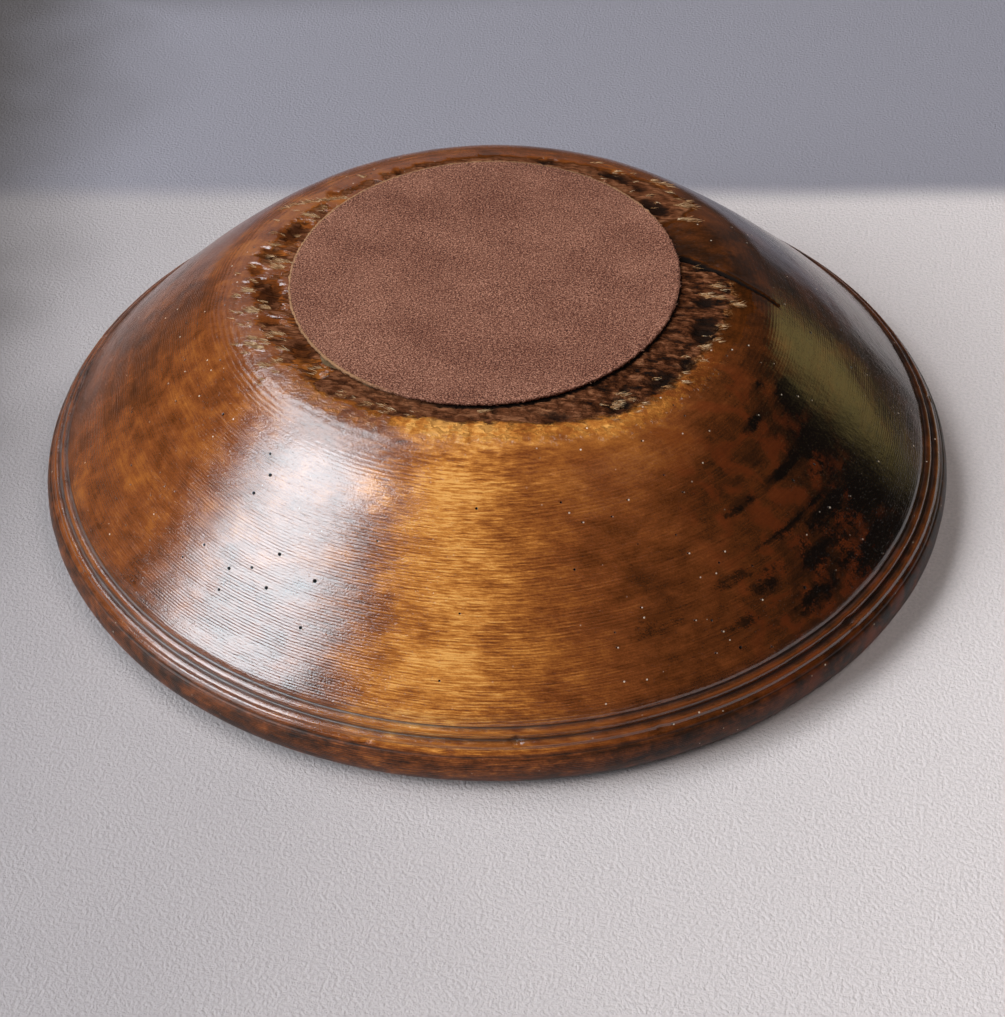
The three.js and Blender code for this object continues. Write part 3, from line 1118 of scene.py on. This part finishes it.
def blackening(f):
    """How black the stains have made the wood, with ragged and smeared edges."""
    smear = f.noise((0.13, 0.13, 7.0), 5.0, 0.7, 0.6, on=f.ring)
    ragged = f.plus(
        f.stain, f.swing(smear, 1.1), f.swing(f.mottle, 1.5), f.swing(f.patch, 0.9),
        f.swing(f.fine_fibre, 0.7), f.swing(f.grain, 1.0),
    )
    return f.times(f.steps(ragged, 0.20, 0.85), f.steps(f.stain, 0.02, 0.3))


def wood_tone(f, black):
    """The plain tone with fibres, turning lines, clouds, stains, and crests made lighter
    by wear and by painted highlights.
    """
    streaks = f.plus(f.swing(f.fine_turning, 1.0), f.swing(f.fibre, 0.35), f.swing(f.fine_fibre, 0.45))
    # Streakier in the side grain: partly a painted sheen
    lively = f.plus(0.22, f.times(f.side_grain_sheen, 0.75))
    lines = f.times(f.plus(streaks, f.times(f.feed, 0.06)), lively)
    clouds = f.plus(f.swing(f.blotch, 0.45), f.swing(f.patch, 0.42), f.swing(f.mottle, 0.22))
    fine = f.plus(f.swing(f.turning, 0.22), f.swing(f.grain, 0.24))
    on_roll = f.times(f.roll, f.swing(f.mottle, 0.8))
    tone = f.plus(plain_tone(f), lines, clouds, fine, on_roll, f.times(f.scuffed, 0.26))
    tone = f.plus(tone, f.times(black, -0.30), f.times(f.stain, -0.05))
    # Worn crests and the split's lip are lighter: partly wear, partly painted highlights
    crest = f.times(f.steps(f.worn, 0.55, 1.0), f.steps(f.turning, 0.25, 0.55))
    return f.mixed(f.times(crest, 0.5), tone, WORN_AND_LIT_TONE)


def torn_over(f, wood):
    """Torn wood laid over the wood's colour: brown and lumpy on the right, with orange
    fibres at its edge, black pits that are partly dirt and partly painted shade, pale tufts,
    and a painted shadow in the gap under the felt."""
    brown_side = f.window(f.azimuth, *TORN_BROWN)
    tone = f.plus(
        f.swing(f.fine_fibre, 0.7), f.swing(f.fibre, 0.8), 0.60, f.times(brown_side, -0.16),
        f.times(f.swing(f.lumps, 1.7), f.plus(0.40, f.times(brown_side, 0.7))),
        f.times(f.hollow, -0.26),
    )
    torn_wood = f.colours(
        tone, (0.05, TORN_BLACK_AND_SHADE), (0.28, TORN_DARK), (0.52, TORN_WOOD), (0.78, TORN_LIGHT),
        (1.0, TORN_PALE),
    )
    wood = f.mixed(f.bared, wood, torn_wood)
    fringe = f.times(f.window(f.torn, 0.1, 0.4, 0.8, 1.0), brown_side, f.steps(f.mottle, 0.40, 0.58))
    fleck = f.steps(f.plus(f.swing(f.fine_fibre, 1.0), f.swing(f.grain, 1.3)), 0.02, 0.20)
    wood = f.mixed(f.times(fringe, 0.3), wood, ORANGE_WOOD)
    wood = f.mixed(f.times(fringe, fleck, 0.6), wood, TORN_PALE)
    # The hollows are darkened, black on the right: partly dirt, partly painted shade
    pit = f.plus(f.hollow, f.swing(f.lumps, 1.6), f.swing(f.fine_fibre, 1.2))
    pit = f.times(f.steps(pit, 0.20, 0.95), f.steps(f.hollow, 0.05, 0.3))
    on_left = f.steps(f.x, -70.0, -35.0, 1.0, 0.0)
    wood = f.mixed(f.times(pit, 0.85), wood, f.mixed(on_left, TORN_BLACK_AND_SHADE, TORN_DARK))
    wisp = f.plus(f.tuft, f.swing(f.fine_fibre, 1.2))
    pale = f.mixed(f.steps(wisp, 0.4, 1.0), TUFT_TAN, f.mixed(on_left, TUFT_GOLD, TUFT_CREAM))
    wood = f.mixed(f.times(f.steps(wisp, 0.18, 0.48), f.steps(f.tuft, 0.05, 0.2)), wood, pale)
    # A shadow painted in the gap under the felt's edge, at the front and right
    past_felt = f.plus(felt_distance(f), -FELT_RADIUS)
    gap = f.steps(f.plus(past_felt, f.swing(f.fine_fibre, 3.0)), 0.5, 1.3, 1.0, 0.0)
    return f.mixed(f.times(gap, f.window(f.azimuth, *FELT_EDGE_PAINTED_SHADOW)), wood, TORN_BLACK_AND_SHADE)


def wood_colour(f):
    """The tone as a colour, with rust, specks, crazing, torn wood, grime and painted shade,
    and pores over it.
    """
    black = blackening(f)
    wood = f.colours(
        wood_tone(f, black), (0.0, BLACK_WOOD), (0.17, DARK_WOOD), (0.34, BROWN_WOOD),
        (0.51, RED_WOOD), (0.68, ORANGE_WOOD), (0.85, GOLD_WOOD), (1.0, PALE_WOOD),
    )
    rust = f.times(f.window(f.azimuth, *RUSTY_STAINS), f.steps(f.patch, 0.46, 0.62))
    rust = f.times(rust, f.steps(black, 0.7, 0.2))
    wood = f.mixed(f.times(rust, 0.55), wood, RUST)
    wood = f.mixed(f.times(f.pinhole, 0.8), wood, BLACK_WOOD)
    # Pale specks: partly dust, partly painted glints on the edges of pits
    wood = f.mixed(f.times(f.speck_and_glint, 0.8), wood, SPECK_AND_GLINT)
    wood = f.mixed(f.times(f.scuffed, f.steps(f.crazing, 0.45, 0.51), 0.45), wood, BROWN_WOOD)
    # Gold lines along the cracks of the crazing, partly painted glints
    wood = f.mixed(f.times(f.scuffed, f.crack, 0.8), wood, GOLD_WOOD)
    wood = torn_over(f, wood)
    # Painted shade, partly grime: the grooves, the scored line, the wall's foot, the split and the worm
    # holes go dark
    dark_in_recesses = f.most(f.times(f.grime_and_shade, 0.9), f.most(f.times(f.split, 2.0), f.bore))
    wood = f.mixed(dark_in_recesses, wood, GRIME_AND_SHADE)
    return f.mixed(f.times(f.pits, 0.25, f.side_grain_sheen), wood, BROWN_WOOD)


def wood_roughness(f):
    """Smooth wax, broken by turning lines, and dull where the wood is torn, dirty or split."""
    tool_marks = f.line_of(f.noise((0.5, 0.5, 2.2), 2.0, 0.6, on=f.ring), 0.022)
    return f.plus(
        0.12, f.swing(f.turning, 0.12), f.swing(f.fine_turning, 0.16), f.swing(f.mottle, 0.08),
        f.times(f.bared, 0.45), f.times(f.hollow, 0.3), f.times(f.split, 0.4),
        f.times(f.grime_and_shade, 0.3), f.times(f.tuft, 0.4), f.times(f.roll, 0.3), f.times(tool_marks, 0.08),
    )


def wood_relief(f):
    """Turning lines, fibres, torn strands, crazing and pores, over one another."""
    uneven = f.minus(1.0, f.times(f.window(f.azimuth, *SMOOTH_WAX), 0.75))
    lathe_marks = f.plus(f.turning, f.times(f.fine_turning, 0.7), f.times(f.feed, 0.4))
    relief = f.raised(f.times(lathe_marks, uneven), 0.12)
    relief = f.raised(f.plus(f.mottle, f.times(f.fibre, 0.3)), 0.14, over=relief)
    relief = f.raised(f.times(f.grain, uneven), 0.10, over=relief)
    broken = f.plus(f.fine_fibre, f.times(f.lumps, 1.4), f.times(f.grain, 0.4))
    relief = f.raised(f.times(f.bared, broken), 0.7, over=relief)
    relief = f.raised(f.times(f.scuffed, f.plus(f.crack, f.crazing)), 0.35, over=relief)
    return f.raised(f.most(f.times(f.pits, 0.4), f.pinhole), -0.12, over=relief)


def outside_finish(name, gloss):
    """Waxed and darkened sycamore: fibres along X, turning lines round the bowl, pale side
    grain in front that is partly a painted sheen, black stains on one side, grime and
    painted shade in every hollow."""
    f = OldWood(name)
    return f.finished(wood_colour(f), wood_roughness(f), gloss, wood_relief(f))


def inside_finish():
    """The wood inside, paler where it has been scrubbed."""
    f = Finish("scrubbed_wood")
    fibre = f.noise((55, 2.2, 2.2), 6.0, 0.62, 0.3)
    blotch = f.noise((60, 40, 40), 4.0, 0.55)
    rings = f.noise((30, 30, 0.9), 4.0, 0.6)
    tone = f.plus(f.times(blotch, 0.5), f.times(fibre, 0.5))
    wood = f.colours(tone, (0.36, SCRUBBED_DARK), (0.62, SCRUBBED_WOOD))
    wood = f.mixed(f.steps(f.z, 26.0, 6.0, 0.0, 0.8), wood, RED_WOOD)
    rough = f.plus(0.42, f.times(blotch, 0.15))
    return f.finished(wood, rough, relief=f.raised(f.plus(fibre, rings), 0.08))


def felt_finish(name):
    """Brown needled felt, flecked darker and lighter, with a paler fraying edge that is
    partly painted light on the window's side.
    """
    f = Finish(name)
    fleck = f.noise((0.8, 0.8, 0.8), 3.0, 0.85)
    patch = f.noise((34, 26, 30), 3.0, 0.5)
    tone = f.plus(fleck, f.swing(patch, 0.12))
    cloth = f.colours(tone, (0.39, FELT_DARK), (0.5, FELT_BROWN), (0.63, FELT_LIGHT))
    reach = f.plus(felt_distance(f), f.swing(fleck, 2.0))
    # The paler edge: partly fraying felt, partly painted light on the window's side
    frayed_and_lit = f.steps(reach, FELT_RADIUS - 1.1, FELT_RADIUS - 0.5)
    away_from_window = f.window(f.azimuth_here(), *FELT_EDGE_AWAY_FROM_WINDOW)
    cloth = f.mixed(f.times(frayed_and_lit, f.minus(1.0, away_from_window), 0.8), cloth, FELT_FRAY_AND_LIGHT)
    return f.finished(cloth, 0.95, 0.1, f.raised(fleck, 0.5))


def glue_finish():
    """Dried glue, amber where it is thin and grey with dust on top."""
    f = Finish("dried_glue")
    cloud = f.noise((5, 3, 3), 4.0, 0.6)
    glue = f.colours(cloud, (0.35, THIN_GLUE), (0.62, DUSTY_GLUE))
    return f.finished(glue, 0.8, 0.1, f.raised(cloud, 0.4))


def strand_finish(name, darkest, middle, lightest):
    """Single fibres, each with a tint of its own."""
    f = Finish(name)
    tint = f.plus(f.share("tint"), f.times(f.noise((1, 1, 1)), 0.2), -0.1)
    return f.finished(f.colours(tint, (0.0, darkest), (0.6, middle), (1.0, lightest)), 0.9, 0.2)


def floor_finish():
    """A pale cloth with shade painted on it: behind the bowl, on the left and farther away."""
    f = Finish("pale_floor")
    cloud = f.noise((220, 220, 220), 3.0, 0.5)
    turn = math.radians(GRAIN_TURN)
    right = f.plus(f.times(f.x, math.cos(turn)), f.times(f.y, math.sin(turn)))
    back = f.plus(f.times(f.y, math.cos(turn)), f.times(f.x, -math.sin(turn)))
    beyond_right = f.plus(right, f.times(back, -0.215))
    right = f.plus(right, f.swing(cloud, 160.0))
    # Painted shade: the cloth darkens towards the left
    near = f.mixed(f.steps(right, -520.0, 380.0), LEFT_FLOOR_PAINTED_SHADE, FLOOR_COLOUR)
    edge = f.plus(back, f.times(right, 0.08))
    # Painted shade: blue-grey behind the bowl
    colour = f.mixed(f.steps(edge, 214.0, 240.0), near, BACK_FLOOR_PAINTED_SHADE)
    # Painted shadow: nearly black at the left edge, far to the right and far behind, where the wax
    # mirrors the floor
    on_left = f.times(f.steps(right, -190.0, -350.0), f.steps(back, -150.0, 100.0))
    far_right = f.times(f.steps(beyond_right, 266.0, 292.0), f.steps(back, 60.0, 140.0))
    shade = f.most(f.most(on_left, far_right), f.steps(back, 430.0, 540.0))
    colour = f.mixed(shade, colour, FLOOR_PAINTED_SHADOW)
    weave = f.noise((1.6, 1.6, 1.6), 2.0, 0.6)
    colour = f.mixed(f.steps(weave, 0.3, 0.7, 0.0, 0.16), colour, FLOOR_WEAVE_COLOUR)
    return f.finished(colour, 0.9, 0.2, f.raised(weave, 0.8))


# The felt pad

FELT_GRID = 161
FELT_SIZES = {
    "Felt Radius": FELT_RADIUS * MM,
    "Felt Thickness": (FELT_TOP - FELT_UNDERSIDE) * MM,
    "Nap Height": 0.16 * MM,
    "Edge Raggedness": 2.4 * MM,
    "Edge Softness": 1.6 * MM,
}


def felt_disc(r):
    """A square grid drawn out into a disc with a ragged edge and given its thickness. Each
    vertex keeps its reach: 0 in the middle and 1 at the edge."""
    inputs = {"Size X": 2.0, "Size Y": 2.0, "Vertices X": FELT_GRID, "Vertices Y": FELT_GRID}
    grid = r.add("GeometryNodeMeshGrid", inputs).outputs["Mesh"]
    u, v = r.parts(r.spot())[:2]
    disc_x = r.times(u, r.math("SQRT", r.minus(1.0, r.times(v, v, 0.5))))
    disc_y = r.times(v, r.math("SQRT", r.minus(1.0, r.times(u, u, 0.5))))
    reach = r.length(disc_x, disc_y)
    disc = r.joined(X=disc_x, Y=disc_y)
    ragged = r.add("ShaderNodeTexNoise", {"Vector": disc, "Scale": 46.0, "Detail": 4.0}).outputs[0]
    ragged = r.times(r.minus(ragged, 0.5), r.size["Edge Raggedness"], r.math("POWER", reach, 60.0))
    scaled = r.vector("SCALE", {0: disc, "Scale": r.size["Felt Radius"]})
    laid = r.vector("ADD", {0: scaled, 1: r.vector("SCALE", {0: disc, "Scale": ragged})})
    flat = r.add("GeometryNodeSetPosition", {"Geometry": grid, "Position": laid}).outputs[0]
    flat = r.stored(flat, "reach", reach, "POINT")
    top = r.add("GeometryNodeExtrudeMesh", {
        "Mesh": flat, "Offset": r.joined(Z=r.size["Felt Thickness"]), "Offset Scale": 1.0,
        "Individual": False,
    }).outputs["Mesh"]
    underside = r.add("GeometryNodeFlipFaces", {"Mesh": flat}).outputs[0]
    both = r.add("GeometryNodeJoinGeometry", {"Geometry": top})
    r.give(both.inputs["Geometry"], underside)
    inputs = {"Geometry": both.outputs[0], "Distance": 0.01 * MM}
    return r.add("GeometryNodeMergeByDistance", inputs).outputs[0]


def nap_rise(r):
    """How far the nap, the waves and the soft edge move each vertex of the felt's top."""
    spot = r.spot()
    thickness = r.size["Felt Thickness"]
    nap = r.add("ShaderNodeTexNoise", {"Vector": spot, "Scale": 720.0, "Detail": 3.0, "Roughness": 0.7})
    waves = r.add("ShaderNodeTexNoise", {"Vector": spot, "Scale": 26.0, "Detail": 2.0}).outputs[0]
    rise = r.times(r.minus(nap.outputs[0], 0.62), r.size["Nap Height"], 2.0)
    rise = r.plus(rise, r.times(r.minus(waves, 0.6), 0.35 * MM))
    edge_gap = r.times(r.minus(1.0, r.named("reach")), r.size["Felt Radius"])
    edge = r.math("DIVIDE", edge_gap, r.size["Edge Softness"])
    drop = r.math("POWER", r.most(r.minus(1.0, edge), 0.0), 2.0)
    rise = r.minus(rise, r.times(drop, thickness, 0.42))
    return r.times(rise, r.math("DIVIDE", r.parts(spot)[2], thickness))


def make_felt(material):
    """A disc of felt with a soft edge and a nap, laid on its glue."""
    r = Growing("felt_disc", FELT_SIZES)
    move = r.joined(Z=nap_rise(r))
    napped = r.add("GeometryNodeSetPosition", {"Geometry": felt_disc(r), "Offset": move})
    r.ends(napped.outputs[0], material)
    felt = r.grown_on("felt_cloth", bpy.data.meshes.new("felt_cloth"))
    felt.data.transform(Matrix.Translation(Vector((*FELT_CENTRE, FELT_UNDERSIDE)) * MM))
    settle_felt(felt.data)
    felt.data.shade_smooth()
    return felt


def settle_felt(mesh):
    """The edge lies down on the glue to the left, and has lifted a little to the right."""
    points = np.zeros(len(mesh.vertices) * 3)
    mesh.vertices.foreach_get("co", points)
    points = points.reshape(-1, 3)
    flat = points[:, :2] / MM - FELT_CENTRE
    azimuth = np.degrees(np.arctan2(flat[:, 1], flat[:, 0]))
    near_edge = smooth_step(FELT_RADIUS - 9, FELT_RADIUS, np.linalg.norm(flat, axis=1))
    lifted = np.cos(np.radians(azimuth + 35)) * 0.22
    points[:, 2] += near_edge * lifted * MM
    mesh.vertices.foreach_set("co", points.ravel())
    mesh.update()


# What grows or lies on the pieces

NAP_SIZES = {
    "Strands Per Square Metre": 950000.0,
    "Strand Length": 1.5 * MM,
    "Strand Width": 0.11 * MM,
    "Least Tilt": 1.15,
    "Most Tilt": 1.62,
    "Swing": math.pi,
}
SPLINTER_SIZES = {
    "Strands Per Square Metre": 5500000.0,
    "Strand Length": 3.2 * MM,
    "Strand Width": 0.16 * MM,
    "Least Tilt": 1.22,
    "Most Tilt": 1.6,
    "Swing": 0.5,
}


def make_fibres(name, source, sizes, material, seed, along_grain):
    """Slivers strewn over the upward faces of a copy of a mesh. Along the grain, they stand
    only in its tufts, and point outwards to the left and right."""
    r = Growing(name, sizes)
    upward = r.parts(r.add("GeometryNodeInputNormal").outputs[0])[2]
    chosen = r.math("GREATER_THAN", upward, 0.35)
    density = r.size["Strands Per Square Metre"]
    tilt = r.chance(r.size["Least Tilt"], r.size["Most Tilt"], seed + 1)
    turn = r.chance(r.times(r.size["Swing"], -1.0), r.size["Swing"], seed + 2)
    if along_grain:
        density = r.times(density, r.steps(r.named("tuft"), 0.15, 0.6))
        left = r.math("LESS_THAN", r.parts(r.spot())[0], 0.0)
        turn = r.plus(turn, r.times(left, math.pi))
    points = r.add("GeometryNodeDistributePointsOnFaces", {
        "Mesh": r.size["Geometry"], "Selection": chosen, "Density": density, "Seed": seed,
    }).outputs["Points"]
    sliver = r.add("GeometryNodeMeshCone", {
        "Vertices": 3, "Radius Top": 0.0, "Radius Bottom": 1.0, "Depth": 1.0,
    }, fill_type="NGON").outputs["Mesh"]
    rotation = r.add("FunctionNodeEulerToRotation", {"Euler": r.joined(Y=tilt, Z=turn)}).outputs[0]
    growth = r.chance(0.45, 1.3, seed + 3)
    width = r.times(r.size["Strand Width"], growth)
    scale = r.joined(X=width, Y=width, Z=r.times(r.size["Strand Length"], growth))
    placed = r.add("GeometryNodeInstanceOnPoints", {
        "Points": points, "Instance": sliver, "Rotation": rotation, "Scale": scale,
    }).outputs[0]
    r.ends(r.stored(placed, "tint", r.chance(0.0, 1.0, seed + 4), "INSTANCE"), material)
    mesh = source.data.copy()
    mesh.materials.clear()
    return r.grown_on(name, mesh)


# The glue under the felt

GLUE_COLUMNS = 480
# Where the glue is squeezed out past the felt: azimuth, spread round it, and how far
GLUE_SMEARS = ((-128, 7, 3.6), (-112, 4, 2.2), (178, 3, 2.4))


def make_glue(material):
    """A thin film with an uneven edge, squeezed out past the felt here and there."""
    low, high = GLUE_BOX[0, 2], GLUE_BOX[1, 2]
    radius = (GLUE_BOX[1, 0] - GLUE_BOX[0, 0]) / 2
    middle = ((0, 1), (30, 24), (70, 120), (radius - 1, GLUE_COLUMNS))
    edge = ((radius + 0.3, (2 * low + high) / 3), (radius + 0.2, (low + 2 * high) / 3))
    rings = [(reach, low, count) for reach, count in middle]
    rings += [(reach, height, GLUE_COLUMNS) for reach, height in edge]
    rings += [(reach, high, count) for reach, count in reversed(middle)]
    rows = [Row(reach, height, count, "glue") for reach, height, count in rings]
    points, turns, _, _, faces = ring_mesh(rows)
    azimuth = np.degrees(turns)
    uneven = noise_at(points, (7, 7, 7), 9) * 0.9 + noise_at(points, (2.5, 2.5, 2.5), 10) * 0.35
    squeezed = sum(
        np.exp(-((azimuth_gap(azimuth, place) / spread) ** 2)) * distance
        for place, spread, distance in GLUE_SMEARS
    )
    at_edge = np.linalg.norm(points[:, :2], axis=1) > radius - 3
    grow = (uneven + squeezed) * at_edge
    points[:, 0] += grow * np.cos(turns)
    points[:, 1] += grow * np.sin(turns)
    points[:, :2] += GLUE_BOX.mean(axis=0)[:2]
    faces = [face[::-1] for face in faces]
    glue = write_mesh("glue_film", points, faces, {})
    glue.data.materials.append(material)
    return glue


# The photograph's camera, the light and the floor

def make_camera():
    yaw, pitch, roll = (math.radians(v) for v in (CAMERA_YAW, CAMERA_PITCH, CAMERA_ROLL))
    ahead = Vector((
        math.sin(yaw) * math.cos(pitch), math.cos(yaw) * math.cos(pitch), -math.sin(pitch),
    ))
    right = ahead.cross(Vector((0, 0, 1))).normalized()
    up = right.cross(ahead)
    rolled_right = math.cos(roll) * right + math.sin(roll) * up
    rolled_up = math.cos(roll) * up - math.sin(roll) * right
    facing = Matrix((rolled_right, rolled_up, -ahead)).transposed().to_4x4()
    place = Matrix.Translation(Vector((0, -CAMERA_BACK, CAMERA_HEIGHT)) * MM)
    data = bpy.data.cameras.new("photograph")
    data.lens = CAMERA_LENS
    data.sensor_width = CAMERA_SENSOR
    camera = bpy.data.objects.new("photograph", data)
    camera.matrix_world = Matrix.Rotation(math.radians(GRAIN_TURN), 4, "Z") @ place @ facing
    bpy.context.scene.collection.objects.link(camera)
    bpy.context.scene.camera = camera


def direction(place):
    """The way to a place in the room, as a length of one."""
    turn, rise = math.radians(place["azimuth"]), math.radians(place["elevation"])
    return Vector((math.cos(turn) * math.cos(rise), math.sin(turn) * math.cos(rise), math.sin(rise)))


def make_lamp(name, place):
    """A flat rectangular lamp that faces the bowl and is equally bright all over."""
    data = bpy.data.lights.new(name, "AREA")
    data.shape = "RECTANGLE"
    data.size = place["width"] * MM
    data.size_y = place["height"] * MM
    data.energy = place["radiance"] * math.pi * data.size * data.size_y
    data.color = place["colour"]
    way = direction(place)
    lamp = bpy.data.objects.new(name, data)
    lamp.location = way * place["distance"] * MM + Vector((0, 0, BOWL_HEIGHT / 2 * MM))
    lamp.rotation_mode = "QUATERNION"
    lean = Quaternion((0, 0, 1), math.radians(place["lean"]))
    lamp.rotation_quaternion = way.to_track_quat("Z", "Y") @ lean
    bpy.context.scene.collection.objects.link(lamp)
    return lamp


def make_room():
    """A dark room, whose walls are lit here and there."""
    world = bpy.data.worlds.new("room")
    world.use_nodes = True
    r = Recipe(world.node_tree)
    look = r.add("ShaderNodeTexCoord").outputs["Generated"]
    colour = (*ROOM_COLOUR, 1.0)
    for glow in GLOWS:
        inputs = {0: look, 1: tuple(direction(glow))}
        nearness = r.add("ShaderNodeVectorMath", inputs, operation="DOT_PRODUCT")
        edge, heart = (math.cos(math.radians(glow[part])) for part in ("outer", "inner"))
        colour = r.mixed(r.steps(nearness.outputs["Value"], edge, heart), colour, glow["colour"])
    light = r.add("ShaderNodeBackground", {"Color": colour, "Strength": 1.0}).outputs[0]
    r.add("ShaderNodeOutputWorld", {"Surface": light})
    bpy.context.scene.world = world


def make_floor():
    half = FLOOR_WIDTH / 2
    corners = np.array([(-half, -half, 0), (half, -half, 0), (half, half, 0), (-half, half, 0)])
    floor = write_mesh("floor", corners, [(0, 1, 2, 3)], {})
    floor.data.materials.append(floor_finish())


def dress(piece, slot, *replaced):
    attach(piece, "root")
    if replaced:
        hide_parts(*replaced)


make_camera()
make_lamp("window", WINDOW)
make_lamp("upper_window", UPPER_WINDOW)
make_lamp("skylight", SKYLIGHT).visible_glossy = False
make_room()
make_floor()
bpy.context.scene.view_settings.view_transform = "Standard"

bowl = make_bowl()
bowl.data.materials.append(outside_finish("old_waxed_wood", gloss=1.0))
bowl.data.materials.append(outside_finish("dull_wood", gloss=0.25))
bowl.data.materials.append(outside_finish("bare_wood", gloss=0.0))
bowl.data.materials.append(inside_finish())
dress(bowl, "wood", "bowl")

glue = make_glue(glue_finish())
dress(glue, "glue", "felt_glue")

felt = make_felt(felt_finish("brown_felt"))
dress(felt, "felt", "felt_pad")

felt_strands = strand_finish("felt_strands", FELT_DARK, FELT_BROWN, FELT_LIGHT)
felt_nap = make_fibres("felt_nap", felt, NAP_SIZES, felt_strands, 11, along_grain=False)
dress(felt_nap, "felt")

torn_fibre = strand_finish("torn_fibre", SPLINTER_DARK, SPLINTER_TAN, SPLINTER_PALE)
splinters = make_fibres("torn_splinters", bowl, SPLINTER_SIZES, torn_fibre, 21, along_grain=True)
dress(splinters, "wood")
